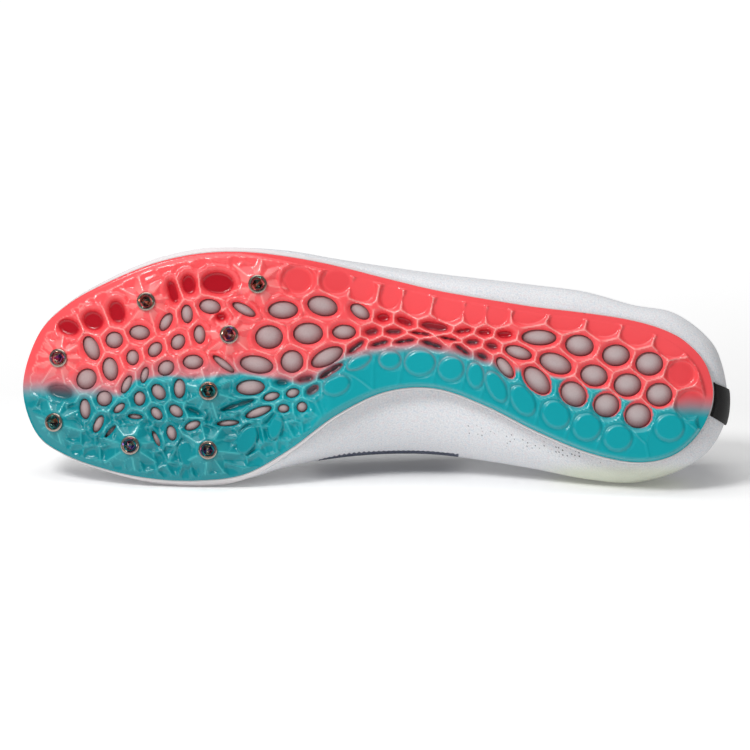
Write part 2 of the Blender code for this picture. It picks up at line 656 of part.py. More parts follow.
def cover(name, look, grid, inward, folds, rings, thick):
    """Strip laid on the upper's own face over some folds and rings."""
    sections = []
    for i in folds:
        under = [grid[k, i] - inward[k, i] * GAP for k in rings]
        over = [grid[k, i] - inward[k, i] * (GAP + thick) for k in rings]
        sections.append(under + over[::-1])
    return loft(name, sections, look)


def make_lace(look, grid, inward):
    """Flat lace: bars across the throat joined by runs beside it, clear of eyestay and tongue."""
    lift = 2 * GAP + EYESTAY_THICK + LACE_THICK / 2

    def hole(i):
        spot = grid[-1, i] * 0.55 + grid[-2, i] * 0.45
        out = -(inward[-1, i] + inward[-2, i])
        out /= np.linalg.norm(out)
        return spot + out * lift, out

    path = []
    side, far = 1, -1
    for i in range(LAST_EYELET, FIRST_EYELET - 1, -EYELET_STEP):
        (start, out_a), (end, out_b) = hole(side * i % AROUND), hole(far * i % AROUND)
        for share in (0.0, 0.25, 0.5, 0.75, 1.0):
            hump = 4 * share * (1 - share)
            spot = start + (end - start) * share + np.array((0, 0, LACE_ARCH * hump))
            path.append((spot, out_a * (1 - share) + out_b * share + np.array((0, 0, hump))))
        if i > FIRST_EYELET:
            path.append(hole(far * (i - 1) % AROUND))
        side, far = far, side
    return loft("lace", ribbon(path, LACE_WIDTH, LACE_THICK), look)


def ribbon(path, width, thick):
    """Sections of a flat band along a path of spots and outward directions, mitred at its corners."""
    spots = np.array([spot for spot, _ in path])
    outs = np.array([out / np.linalg.norm(out) for _, out in path])
    runs = np.diff(spots, axis=0)
    runs /= np.linalg.norm(runs, axis=1)[:, None]
    before, after = np.vstack((runs[:1], runs)), np.vstack((runs, runs[-1:]))
    sides = np.cross(before + after, outs)
    sides /= np.linalg.norm(sides, axis=1)[:, None]
    half_turn = np.sqrt((1 + np.einsum("ij,ij->i", before, after)) / 2)
    sides *= (width / 2 / half_turn)[:, None]
    ups = outs * thick / 2
    return [list(group) for group in zip(spots - sides - ups, spots + sides - ups,
                                         spots + sides + ups, spots - sides + ups)]


def turned(name, profile, sides, look, where):
    """Piece turned round its own axis from a closed or axis-to-axis profile, set at a place."""
    bm = bmesh.new()
    angle = np.arange(sides) * 2 * np.pi / sides
    rings = []
    for radius, height in profile:
        if radius == 0.0:
            rings.append([bm.verts.new(where @ Vector((0, 0, height)))] * sides)
        else:
            rings.append([bm.verts.new(where @ Vector((radius * math.cos(a), radius * math.sin(a),
                                                       height))) for a in angle])
    pairs = list(zip(rings, rings[1:]))
    if profile[0][0] > 0.0:
        pairs.append((rings[-1], rings[0]))
    for one, two in pairs:
        for i in range(sides):
            j = (i + 1) % sides
            corners = []
            for vert in (one[i], one[j], two[j], two[i]):
                if vert not in corners:
                    corners.append(vert)
            bm.faces.new(corners)
    return add_object(name, bm, look, 30)


def spike_place(spot):
    """Frame on a boss of the plate: its Z runs out of the sole, square to the sole line there."""
    spot = np.array([spot], float)
    step = 4.0
    ahead, behind = spot - (step, 0), spot + (step, 0)
    slope = float((sole_line(ahead) - sole_line(behind))[0]) / (2 * step * UNIT_X)
    face = float((plate_back(spot) - SKIN)[0]) - BOSS_RISE - GAP
    middle = Vector(placed(spot, face)[0])
    out = Vector((-slope, 0.0, -1.0)).normalized()
    return Matrix.Translation(middle) @ out.to_track_quat("Z", "Y").to_matrix().to_4x4()


def make_spikes(seat_look, spike_look):
    """Eight metal seats and the pyramid spikes inside them."""
    made = []
    ring = ((SEAT_BORE, 0), (SEAT_RADIUS, 0), (SEAT_RADIUS, SEAT_HEIGHT), (SEAT_BORE, SEAT_HEIGHT))
    point = ((0.0, 0.0), (SPIKE_RADIUS, 0.0), (SPIKE_RADIUS, SPIKE_FOOT), (0.0, SPIKE_LENGTH))
    for number, spot in enumerate(SPIKES, 1):
        where = spike_place(spot)
        made.append(turned(f"spike_seat_{number}", ring, RING_SIDES, seat_look, where))
        made.append(turned(f"spike_{number}", point, 6, spike_look, where))
    return made


def solid_middle(piece):
    """Volume and centre of a piece's closed mesh, from the cones between its faces and the origin."""
    mesh = piece.data
    mesh.calc_loop_triangles()
    verts = np.array([v.co for v in mesh.vertices])
    corners = verts[np.array([t.vertices for t in mesh.loop_triangles])]
    cones = np.einsum("ij,ij->i", corners[:, 0], np.cross(corners[:, 1], corners[:, 2])) / 6
    middle = (corners.sum(axis=1) / 4 * cones[:, None]).sum(axis=0) / cones.sum()
    return abs(cones.sum()), middle


def resting_turn(pieces, weights):
    """Turn from standing to lying: the face of the hull under the middle of mass goes down."""
    mass, middle, cloud = 0.0, np.zeros(3), []
    for piece in pieces:
        volume, centre = solid_middle(piece)
        mass += volume * weights[piece.name]
        middle += volume * weights[piece.name] * centre
        cloud += [v.co.copy() for v in piece.data.vertices]
    middle = Vector(middle / mass)
    hull = bmesh.new()
    for spot in cloud:
        hull.verts.new(spot)
    bmesh.ops.convex_hull(hull, input=hull.verts)
    best, down = -1.0, None
    for face in hull.faces:
        normal = face.normal.copy()
        corners = [loop.vert.co for loop in face.loops]
        if normal.dot(corners[0] - middle) < 0.0:
            normal.negate()
            corners.reverse()
        under = all((b - a).cross(middle - a).dot(normal) > 0.0
                    for a, b in zip(corners, corners[1:] + corners[:1]))
        if under and normal.y > best:
            best, down = normal.y, normal
    hull.free()
    onto_side = Matrix.Rotation(math.radians(-90), 4, "X")
    rest = (onto_side @ down).rotation_difference(Vector((0, 0, -1))).to_matrix().to_4x4()
    return rest @ onto_side, cloud


def lay_down(pieces, weights):
    """Parents all pieces to an empty that lies the shoe down, its box centred on the floor."""
    turn, cloud = resting_turn(pieces, weights)
    spots = np.array([turn @ spot for spot in cloud])
    low, high = spots.min(axis=0), spots.max(axis=0)
    shift = Matrix.Translation((-(low[0] + high[0]) / 2, -(low[1] + high[1]) / 2, -low[2]))
    rest = bpy.data.objects.new("shoe_at_rest", None)
    bpy.context.collection.objects.link(rest)
    rest.matrix_world = shift @ turn
    for piece in pieces:
        piece.parent = rest


def main():
    clear_scene()
    plate_look = material("moulded_nylon", (0.85, 0.12, 0.13), 0.3)
    foam_look = material("midsole_foam", (0.48, 0.33, 0.31), 0.8)
    insole_look = material("insole_cloth", (0.05, 0.05, 0.06), 0.9)
    knit_look = material("white_knit", (0.70, 0.71, 0.74), 0.85)
    tongue_look = material("tongue_knit", (0.60, 0.61, 0.64), 0.85)
    stay_look = material("navy_film", (0.015, 0.02, 0.05), 0.5)
    tape_look = material("black_tape", (0.01, 0.01, 0.012), 0.6)
    lace_look = material("lace_cord", (0.02, 0.02, 0.03), 0.8)
    seat_look = material("spike_steel", (0.35, 0.35, 0.38), 0.25, 1.0)
    spike_look = material("spike_chrome", (0.55, 0.5, 0.62), 0.15, 1.0)

    grid, inward = upper_grid(AROUND)
    thick = wall_thickness(AROUND)[:, :, None]
    inner = grid + inward * thick
    throat = range(THROAT_START, AROUND - THROAT_START + 1)
    heel = (AROUND - 1, 0, 1)
    rings = range(len(grid))

    weights = {}
    pieces = []
    for piece, weight in (
            (make_plate(plate_look), NYLON),
            (make_midsole(foam_look), FOAM),
            (make_insole(insole_look, inner, inward), FOAM),
            (make_upper(knit_look, grid, inner), KNIT),
            (make_tongue(tongue_look, inner, inward), FOAM),
            (cover("eyestay", stay_look, grid, inward, throat, rings[-2:], EYESTAY_THICK), KNIT),
            (cover("heel_tape", tape_look, grid, inward, heel, rings, TAPE_THICK), KNIT),
            (make_lace(lace_look, grid, inward), KNIT)):
        weights[piece.name] = weight
        pieces.append(piece)
    for piece in make_spikes(seat_look, spike_look):
        weights[piece.name] = STEEL
        pieces.append(piece)
    bpy.context.view_layer.update()
    lay_down(pieces, weights)


main()
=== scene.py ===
"""Finished pieces of a left track spike shoe that lies on its inner side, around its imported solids.

Plan shapes are drawn on a squared chart, seen from below with the toe at the left. They are worked out
for the shoe standing on its sole, then carried into the frame by the turn that fits the spike seats.
"""
import math

import bpy
import numpy as np
from mathutils import Matrix, Vector


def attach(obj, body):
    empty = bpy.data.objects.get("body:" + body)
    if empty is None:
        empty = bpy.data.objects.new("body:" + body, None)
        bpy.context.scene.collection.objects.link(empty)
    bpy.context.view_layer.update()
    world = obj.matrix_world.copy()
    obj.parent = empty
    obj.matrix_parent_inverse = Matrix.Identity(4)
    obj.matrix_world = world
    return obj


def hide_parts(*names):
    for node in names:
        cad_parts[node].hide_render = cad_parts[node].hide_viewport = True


bl_info = {
    "name": "Track spike shoe",
    "version": (1, 0, 0),
    "blender": (4, 5, 0),
    "location": "View3D > Sidebar > Spike shoe",
    "description": "Builds the finished pieces of a track spike shoe around its packed solids",
    "category": "Object",
}

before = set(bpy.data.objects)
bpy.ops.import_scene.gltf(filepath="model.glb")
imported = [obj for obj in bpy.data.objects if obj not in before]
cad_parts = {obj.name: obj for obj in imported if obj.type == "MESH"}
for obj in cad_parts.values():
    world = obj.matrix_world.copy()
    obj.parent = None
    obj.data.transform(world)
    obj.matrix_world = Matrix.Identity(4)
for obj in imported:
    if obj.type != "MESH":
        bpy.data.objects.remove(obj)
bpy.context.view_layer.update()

# Sizes of the solids that the finished pieces follow, in metres
PLATE_LENGTH, BALL_WIDTH = 0.2770, 0.0912
TOE_SPRING, ARCH_LIFT, HEEL_LIFT = 0.0125, 0.0035, 0.0020
SKIN, RIB_RISE, EDGE_STEP = 0.0014, 0.0026, 0.0009
FOAM_FORE, FOAM_HEEL = 0.0035, 0.0070
INSOLE_THICK, INSOLE_SPREAD = 0.0030, 0.35
HEEL_HEIGHT, INSTEP_HEIGHT = 0.0680, 0.0720
WALL, COLLAR_WALL = 0.0015, 0.0040
TONGUE_THICK, TONGUE_RISE, TONGUE_BACK = 0.0030, 0.0150, 0.0170
EYESTAY_THICK, TAPE_THICK, TAPE_STEP = 0.0008, 0.0008, 0.0009
LACE_WIDTH, LACE_THICK, LACE_ARCH, LACE_DIP = 0.0050, 0.0012, 0.0030, 0.0013
EYELET_RADIUS = 0.0016
EYELET_RING = ((0.0015, 0.0), (0.0015, 0.0003), (0.0018, 0.0005), (0.0023, 0.0005), (0.0026, 0.0002),
               (0.0026, -0.0002))
EYELET_HOLE = ((EYELET_RADIUS, -0.0002), (EYELET_RADIUS, 0.00012), (0.00002, 0.00012))
SEAT_RADIUS, SEAT_BORE, SEAT_HEIGHT = 0.0037, 0.0026, 0.0012
SEAT_RING = ((SEAT_BORE, 0), (SEAT_RADIUS, 0), (SEAT_RADIUS, SEAT_HEIGHT * 0.7),
             (SEAT_RADIUS - 0.0003, SEAT_HEIGHT * 0.95), (SEAT_RADIUS - 0.0006, SEAT_HEIGHT),
             (SEAT_BORE + 0.0003, SEAT_HEIGHT), (SEAT_BORE, SEAT_HEIGHT * 0.8))
SPIKE_LENGTH, SPIKE_RADIUS, SPIKE_FOOT = 0.0068, 0.0021, 0.0010
FOOT_RINGS = ((0.0001, 0.0), (SPIKE_RADIUS, 0.0), (SPIKE_RADIUS, SPIKE_FOOT))
BOSS_RADIUS, BOSS_RISE = 0.0045, 0.0034
GAP = 0.0003

# Relief of the plate: how far the forefoot's open land lies below the ribs, the depth of pockets, the
# rise of a coin, how far webs reach out from a boss, and how steep ribs, pockets and scallops are
LAND_DROP, POCKET_DEPTH, COIN_RISE, WEB_REACH = 0.0010, 0.0006, 0.0006, 0.0085
RIB_SLOPE, POCKET_SLOPE, DISH_SLOPE = 0.95, 1.7, 1.75

# Chart frame: toe tip and heel end of the plate, its axis, and its width across the ball
CHART_TOE, CHART_HEEL = 21, 713.5
CHART_AXIS, CHART_BALL = 388, 228
CHART_LONG = CHART_HEEL - CHART_TOE
CHART_MIDDLE = (CHART_TOE + CHART_HEEL) / 2
UNIT_X = PLATE_LENGTH / CHART_LONG
UNIT_Y = BALL_WIDTH / CHART_BALL
UNIT = (UNIT_X + UNIT_Y) / 2

# Folds of the last, from the heel's middle by the outer side to the toe and back by the inner side.
# Columns: plate x, y; flange of the foam; widest line x, y and its rise as a share of the instep;
# opening's edge x, y and its height as a share of the heel (rows marked H) or instep (rows marked I).
FOLDS = (
    (713.5, 393, 1.5, 731, 402, 0.16, 716, 399, 1.00, "H"),
    (705.5, 363.5, 2.0, 725.5, 365, 0.16, 709, 366, 0.99, "H"),
    (686, 342, 2.0, 711.5, 338, 0.16, 692, 345, 0.95, "H"),
    (663, 329.5, 2.0, 677, 312.5, 0.15, 664, 329, 0.89, "H"),
    (630, 320, 2.0, 634, 304, 0.14, 630, 320, 0.84, "H"),
    (585, 313, 2.0, 587, 291, 0.14, 588, 317, 0.81, "H"),
    (535, 307, 2.0, 535, 284, 0.16, 543, 320, 0.80, "I"),
    (485, 299, 2.0, 485, 278, 0.19, 503, 329, 0.90, "I"),
    (435, 290, 2.0, 435, 272, 0.21, 468, 339, 1.00, "I"),
    (385, 278, 2.5, 385, 265, 0.20, 425, 342, 0.95, "I"),
    (335, 265.5, 3.0, 335, 257.5, 0.17, 375, 346, 0.87, "I"),
    (290, 257, 4.0, 290, 250, 0.14, 325, 350, 0.79, "I"),
    (245, 252, 4.5, 245, 247, 0.12, 280, 354, 0.72, "I"),
    (200, 253.5, 5.0, 200, 248, 0.10, 245, 359, 0.675, "I"),
    (155, 263, 4.5, 155, 258, 0.10, 222, 364, 0.655, "I"),
    (110, 281, 3.5, 110, 277, 0.10, 214, 368, 0.648, "I"),
    (68, 303.5, 1.5, 69, 302, 0.10, 211, 371, 0.645, "I"),
    (37, 334.5, 0.5, 39, 335, 0.11, 210, 373, 0.643, "I"),
    (21, 386, 0.0, 24, 386, 0.12, 209.5, 375, 0.642, "I"),
    (34, 432, 0.5, 37, 431, 0.11, 210, 377, 0.643, "I"),
    (65, 455, 1.5, 66, 456, 0.10, 211, 379, 0.645, "I"),
    (110, 470.5, 2.5, 110, 472, 0.09, 214, 382, 0.648, "I"),
    (155, 479, 4.5, 155, 481, 0.08, 222, 386, 0.655, "I"),
    (200, 480.5, 6.0, 200, 484, 0.08, 245, 391, 0.675, "I"),
    (245, 474, 5.0, 245, 479.5, 0.12, 280, 396, 0.72, "I"),
    (290, 449, 3.5, 290, 467, 0.24, 325, 400, 0.79, "I"),
    (335, 416, 2.5, 335, 459.5, 0.36, 375, 404, 0.87, "I"),
    (385, 392, 2.0, 385, 455.5, 0.43, 425, 408, 0.95, "I"),
    (435, 388.5, 2.0, 435, 456, 0.45, 468, 413, 1.00, "I"),
    (485, 405.5, 2.0, 485, 462, 0.40, 503, 428, 0.90, "I"),
    (535, 430.5, 2.0, 535, 470, 0.30, 543, 449, 0.80, "I"),
    (585, 451.5, 2.0, 587, 480, 0.20, 588, 464, 0.81, "H"),
    (630, 462, 2.0, 632, 484, 0.17, 630, 467, 0.84, "H"),
    (664, 459, 2.0, 673, 475, 0.16, 664, 460, 0.89, "H"),
    (689, 444.5, 2.0, 706, 457, 0.16, 692, 442, 0.95, "H"),
    (706, 421.5, 2.0, 724.5, 432, 0.16, 709, 424, 0.99, "H"),
)

# Cells of the honeycomb plate. Columns: x, y, half length, half width, turn in degrees
WINDOWS = (
    (91, 348, 13, 7.5, 65), (114, 340, 9, 8.5, 0), (132.5, 357.5, 8, 6.5, 90),
    (110, 369, 12, 8, 80), (86, 379, 11, 10, -50), (126.5, 384.5, 10, 4.5, -65),
    (104, 398.5, 8, 8, 0), (84.5, 409, 10.5, 5.5, 85), (119, 408, 7, 4, -40),
    (98, 424, 9.5, 4.5, -65), (110, 431.5, 8, 2, -48), (135, 416.5, 7.5, 2.8, 5),
    (139.5, 332.5, 10.5, 7.5, 5), (166, 322, 10, 5.5, -60), (187, 314, 9.5, 6, 85),
    (199.5, 334.5, 9.5, 6, 85), (178, 342, 8.5, 7, -60), (155, 349.5, 8.5, 6.5, -50),
    (193, 362, 10.5, 7.5, 0), (166, 368, 8.8, 7.5, -35), (144.5, 375, 8.5, 4, -75),
    (223.5, 364, 13.5, 3.8, 38), (210, 306.5, 11, 7.5, 10), (244, 309.5, 13, 5, 28),
    (139.5, 398.5, 7.5, 6, 90), (158.5, 392, 9, 6.5, 55), (179.5, 388.5, 10, 6, 90),
    (156.5, 413.5, 7.5, 5, 50), (176, 411, 8, 5.5, 40), (171.5, 433, 8, 5, 75),
    (156, 438.5, 8.5, 2.5, 65), (192.5, 425.5, 8.5, 4.5, -22), (228, 423, 11.5, 3.2, -4),
    (250.5, 387.5, 14.5, 8, -3), (283, 310, 15, 9, 0), (322.5, 306, 15.5, 10, 15),
    (269, 337, 14, 12, 0), (308, 333.5, 15, 11, 0), (344, 332, 12, 7.5, 0),
    (256.5, 364.5, 17, 9, 10), (292, 361.5, 11.5, 11.5, 0), (327, 357, 17.5, 8.5, -27),
    (360, 311.5, 11, 6.5, 35), (271.5, 396.5, 8.5, 4.5, -15), (292.7, 393, 7, 4.8, -15),
    (258.5, 412, 14, 4.8, -20), (283.5, 408.5, 6, 4.5, 0), (302, 407, 5.5, 5.5, 0),
    (505, 367.5, 12.5, 6, 52), (518.5, 352.5, 14, 6.5, 18), (539, 337.5, 17.5, 8, 2),
    (555.5, 363.5, 17, 10, 22), (579.5, 345.5, 14.5, 10.8, 10), (616, 355.3, 14, 11, 0),
    (649.3, 363.8, 14, 12, 0), (537, 380.5, 17, 10, 48), (573.5, 394, 14.5, 11.5, 42),
    (594, 375.5, 14, 11, 15), (627.5, 385, 14, 11.8, 0), (659.3, 394.7, 13.3, 12, 0),
    (606.5, 405.3, 13, 12.3, 0), (638, 415.7, 13.3, 12.7, 0),
)
POCKETS = (
    (68, 327, 12, 9, 20), (93, 320.5, 11.5, 10.5, 30), (117, 312, 12.5, 9, 75),
    (60, 392, 13.5, 8, 15), (221, 317, 6, 5, 0), (173, 292, 12.5, 5.5, 75),
    (189, 284.5, 11, 8, 80), (218, 283, 17, 12, 5), (194, 411.5, 8, 3.2, 25),
    (238, 405, 18, 3.3, -18), (298, 280, 14, 12.5, 0), (337, 281, 14, 11.5, 0),
    (282, 382.5, 7, 4.3, 0), (305.5, 379, 9, 4.3, -10), (312.7, 390, 8, 4.8, -35),
    (331, 371, 14.5, 4, -33), (356, 347, 11, 4, -38), (372, 331.5, 7.8, 4.8, -10),
    (383.3, 317.5, 7.5, 5.4, 0), (405, 321.3, 9.5, 4.8, 22), (435, 326.5, 14.5, 5.4, 10),
    (394, 331.5, 9, 4, 0), (421, 333.4, 10, 2, 8), (449, 338.7, 9, 2, 12),
    (464, 330.8, 8.5, 3.2, -8), (485, 332.3, 7.3, 4, 0), (505, 334.5, 8.5, 4.8, 0),
    (380, 343.3, 9.5, 3.4, -15), (405.3, 341, 10.5, 2.8, -8), (432.5, 344.5, 11.5, 3.6, 18),
    (462.5, 350, 9.5, 3.2, 35), (473, 342, 7.5, 4, 0), (492.3, 346, 6.8, 4.6, 15),
    (482.5, 356.5, 6.8, 4.5, 25), (681, 373.5, 13, 12, 0), (691, 403.5, 13.5, 12.5, 0),
)
SCALLOPS = (
    (363, 289, 11, 12, -20), (391, 296, 9, 12, 0), (417, 301, 12.5, 13, 0),
    (449, 308, 14, 13, 0), (475, 312, 9.5, 12, 0), (498, 314, 10, 11, 10),
    (530, 315, 16, 8, -5), (567, 321, 16, 9, 0), (604, 326, 15, 9.5, 5),
    (638, 333, 15, 11, 0), (671, 345, 15, 10.5, 25),
)
COINS = (
    (186, 454, 13, 7, 80), (247, 440, 15, 9, -65), (275.5, 427, 12.5, 6.5, -75),
    (336.5, 385.5, 13, 9, -20), (359, 362, 12.5, 5.5, -28), (390, 360, 10, 8.5, 0),
    (420, 363, 14.5, 12, 0), (451, 369, 12, 11.5, 0), (475.5, 375.5, 12, 7.5, 85),
    (496.5, 387, 16, 8, 62), (523, 400.5, 16, 10, 58), (556, 414.5, 14.5, 12, 45),
    (587, 427, 13.5, 13, 0), (618, 438, 13.5, 12.5, 0), (669.5, 427.5, 14, 13, 0),
)

# Middle of each spike on the chart, and how many webs run up to it
SPIKES = (
    (58, 358, 9), (53.5, 422.5, 8), (130.3, 445.3, 7), (146.3, 301.5, 8),
    (229.2, 334.6, 7), (208.5, 391, 8), (208, 450, 7), (257.7, 284.2, 7),
)

# Line on the chart where the outer side's coral meets the inner side's teal: x, y
COLOUR_LINE = (
    (0, 391), (40, 388), (75, 391), (98, 392), (120, 395), (135, 380), (165, 375), (195, 378),
    (240, 373), (270, 377), (300, 383), (315, 376), (345, 355), (375, 349), (420, 345), (465, 353),
    (510, 368), (540, 374), (570, 380), (600, 388), (630, 400), (660, 407), (690, 404), (720, 406),
)

# Places along the ring of 72 folds
FOLD_STEPS = 72
FIRST_EYELET, LAST_EYELET, EYELET_STEP = 18, 28, 2
THROAT_START, TONGUE_FRONT = 16, 30

# Points round the finished foam, upper, eyelets and seats; rows along the tongue, eyestay and a lace bar
FOAM_ROUND, UPPER_ROUND, EYELET_ROUND, SEAT_ROUND = 840, 432, 28, 40
TONGUE_ROWS, EYESTAY_ROWS, LACE_ROWS = 90, 240, 41

# How many times finer the folds under the heel tape and the insole are than the solids'
TAPE_FINER, INSOLE_FINER = 6, 3

# Rings of the finished upper: angles of its quarter round, and shares of the curve above it
UNDER, OVER = np.linspace(0, 90, 10), np.linspace(0, 1, 34)[1:]

# Rings of the solids: angles of the upper's quarter round, and shares of the curve above it
SOLID_RINGS = ((0, 30, 60, 90), (0.18, 0.38, 0.58, 0.79, 1.0))

# Tongue's width beside the collar as a share of the throat's, and its free top: shares of the setback
# and of the rise, and width as a share of the last section's
TONGUE_NECK = (0.62, 0.68)
TONGUE_TOP = ((0.35, 0.28, 0.95), (0.62, 0.60, 1.25), (0.88, 0.88, 1.15), (1.0, 1.0, 0.72))


# Curves of the last, as in the solids


def smooth(share):
    """Soft step from 0 to 1."""
    share = np.clip(share, 0.0, 1.0)
    return share * share * (3.0 - 2.0 * share)


def colour_border(x):
    """Chart y of the line between the two colours."""
    line = np.array(COLOUR_LINE, float)
    return np.interp(x, line[:, 0], line[:, 1])


def placed(chart_points, height):
    """Chart points and a height in metres, as points of the standing shoe."""
    points = np.asarray(chart_points, float)
    x = (points[..., 0] - CHART_MIDDLE) * UNIT_X
    y = (points[..., 1] - CHART_AXIS) * UNIT_Y
    return np.stack((x, y, np.broadcast_to(height, x.shape)), axis=-1)


def charted(points):
    """Points of the standing shoe, as chart points."""
    return np.stack((points[..., 0] / UNIT_X + CHART_MIDDLE, points[..., 1] / UNIT_Y + CHART_AXIS), -1)


def unit(vectors):
    """Vectors brought to a length of 1."""
    return vectors / np.linalg.norm(vectors, axis=-1, keepdims=True)


def lengths(points, axis=0):
    """Length run along lines of points, from 0 at their first point."""
    steps = np.linalg.norm(np.diff(points, axis=axis), axis=-1)
    return np.insert(np.cumsum(steps, axis=axis), 0, 0.0, axis=axis)


def sole_line(chart_points):
    """Height of the ribs' plane: cubic toe spring, a low arch and a little lift at the heel."""
    s = (CHART_HEEL - np.asarray(chart_points, float)[..., 0]) / CHART_LONG
    toe = TOE_SPRING * np.clip((s - 0.70) / 0.30, 0.0, 1.2) ** 3
    arch = ARCH_LIFT * np.sin(np.pi * np.clip((s - 0.30) / 0.36, 0.0, 1.0)) ** 2
    heel = HEEL_LIFT * np.clip((0.06 - s) / 0.06, 0.0, 2.0) ** 2
    return toe + arch + heel


def plate_back(points):
    """Height of the plate's smooth back."""
    return sole_line(points) + SKIN + RIB_RISE


def foam_thickness(points):
    """Thickness of the foam, from the heel to the ball."""
    s = (CHART_HEEL - np.asarray(points, float)[..., 0]) / CHART_LONG
    return FOAM_HEEL + (FOAM_FORE - FOAM_HEEL) * smooth((s - 0.24) / 0.38)


def foam_top(points):
    """Height of the foam's upper face."""
    return plate_back(points) + GAP + foam_thickness(points)


def spline(rows, k, t):
    """Catmull-Rom curve between rows k and k + 1 of a table, at shares t of the way."""
    a, b, c, d = (rows[(k + shift) % len(rows)] for shift in (-1, 0, 1, 2))
    return 0.5 * (2 * b + (c - a) * t + (2 * a - 5 * b + 4 * c - d) * t**2
                  + (3 * b - a - 3 * c + d) * t**3)


def around(table, places):
    """Closed smooth curve through a table's rows, read at places counted in rows."""
    spots = np.asarray(places, float)
    k = np.floor(spots).astype(int)
    return spline(np.asarray(table, float), k, (spots - k)[:, None])


def smooth_rows(rows, count):
    """Open smooth curve through rows of points, read at even steps."""
    rows = np.asarray(rows, float)
    rows = np.concatenate((2 * rows[:1] - rows[1:2], rows, 2 * rows[-1:] - rows[-2:-1]))
    spots = np.linspace(0, len(rows) - 3, count)
    k = np.minimum(spots.astype(int), len(rows) - 4)
    return spline(rows, k + 1, (spots - k).reshape((-1,) + (1,) * (rows.ndim - 1)))


def outward(ring):
    """Unit direction out of a closed chart ring that runs from heel by the outer side to the toe."""
    along = np.roll(ring, -1, axis=0) - np.roll(ring, 1, axis=0)
    return unit(np.column_stack((-along[:, 1], along[:, 0])))


def fold_columns(count):
    """The folds' columns read round the last: plate edge, foam edge, widest line and opening."""
    numbers = []
    for row in FOLDS:
        height = row[8] * (HEEL_HEIGHT if row[9] == "H" else INSTEP_HEIGHT)
        numbers.append((*row[:5], row[5] * INSTEP_HEIGHT, *row[6:8], height))
    columns = around(numbers, np.arange(count) * len(FOLDS) / count)
    edge = columns[:, 0:2]
    foam = edge + outward(edge) * columns[:, 2:3]
    return edge, foam, columns[:, 3:6], columns[:, 6:9]


def upper_lines(count):
    """The curves each fold of the upper is made of: foam edge, widest line, handles and opening."""
    _, foam, wide, rim = fold_columns(count)
    base = placed(foam, foam_top(foam) + GAP)
    belly = placed(wide[:, :2], base[:, 2] + wide[:, 2])
    edge = placed(rim[:, :2], rim[:, 2])
    flat = belly - edge
    flat[:, 2] = 0.0
    level = smooth((np.linalg.norm(flat, axis=1) - 0.008) / 0.022)[:, None]
    upright = np.zeros_like(belly)
    upright[:, 2] = edge[:, 2] - belly[:, 2]
    leave = belly + 0.55 * upright
    arrive = edge - 0.40 * (1.0 - level) * upright + level * (0.45 * flat - 0.06 * upright)
    return foam, base, belly, leave, arrive, edge


def upper_face(count, under, over):
    """Outer face of the upper as rings from foam to opening: a quarter round, then a cubic curve.

    Under holds angles from 0 to 90 for the quarter round, over holds shares of the cubic curve.
    """
    foam, base, belly, leave, arrive, edge = upper_lines(count)
    turn = np.radians(np.asarray(under, float))[:, None, None]
    low = base + (belly - base) * np.sin(turn)
    low[..., 2] = base[:, 2] + (belly[:, 2] - base[:, 2]) * (1.0 - np.cos(turn[..., 0]))
    t = np.asarray(over, float)[:, None, None]
    high = ((1 - t)**3 * belly + 3 * (1 - t)**2 * t * leave
            + 3 * (1 - t) * t**2 * arrive + t**3 * edge)
    grid = np.concatenate((low, high))
    along = np.roll(grid, -1, axis=1) - np.roll(grid, 1, axis=1)
    inward = unit(np.cross(along, np.gradient(grid, axis=0)))
    inward[0, :, :2] = -outward(foam)
    inward[0, :, 2] = 0.0
    return grid, inward


def wall_thickness(count, under, over):
    """Wall of the knit at each ring and fold, with a padded collar round the ankle."""
    padded = smooth((fold_columns(count)[3][:, 0] - 495) / 60)
    spots = np.concatenate((np.zeros(len(under)), np.asarray(over, float) * 5.0))
    climb = smooth((spots - 0.5) / 3.0)
    return WALL + (COLLAR_WALL - WALL) * climb[:, None] * padded[None, :]


def upper_walls(count, under, over):
    """Outer face of the upper, the way in, and its inner face."""
    grid, inward = upper_face(count, under, over)
    return grid, inward, grid + inward * wall_thickness(count, under, over)[:, :, None]


# Turn from the standing shoe to the frame


def loose_mesh(node):
    """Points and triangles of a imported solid."""
    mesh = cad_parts[node].data
    mesh.calc_loop_triangles()
    points = np.zeros(len(mesh.vertices) * 3)
    mesh.vertices.foreach_get("co", points)
    triangles = np.zeros(len(mesh.loop_triangles) * 3, int)
    mesh.loop_triangles.foreach_get("vertices", triangles)
    return points.reshape(-1, 3), triangles.reshape(-1, 3)


def middle_of(node):
    """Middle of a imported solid's surface, each triangle counted by its area."""
    points, triangles = loose_mesh(node)
    corners = points[triangles]
    area = np.linalg.norm(np.cross(corners[:, 1] - corners[:, 0], corners[:, 2] - corners[:, 0]), axis=1)
    return (corners.mean(axis=1) * area[:, None]).sum(axis=0) / area.sum()


def seat_frame(spot):
    """Origin on the boss and direction out of the sole at a spike, for the standing shoe."""
    spot, step = np.array(spot[:2], float), 4.0
    slope = (sole_line(spot - (step, 0)) - sole_line(spot + (step, 0))) / (2 * step * UNIT_X)
    face = plate_back(spot) - SKIN - BOSS_RISE - GAP
    return placed(spot, face), unit(np.array((-slope, 0.0, -1.0)))


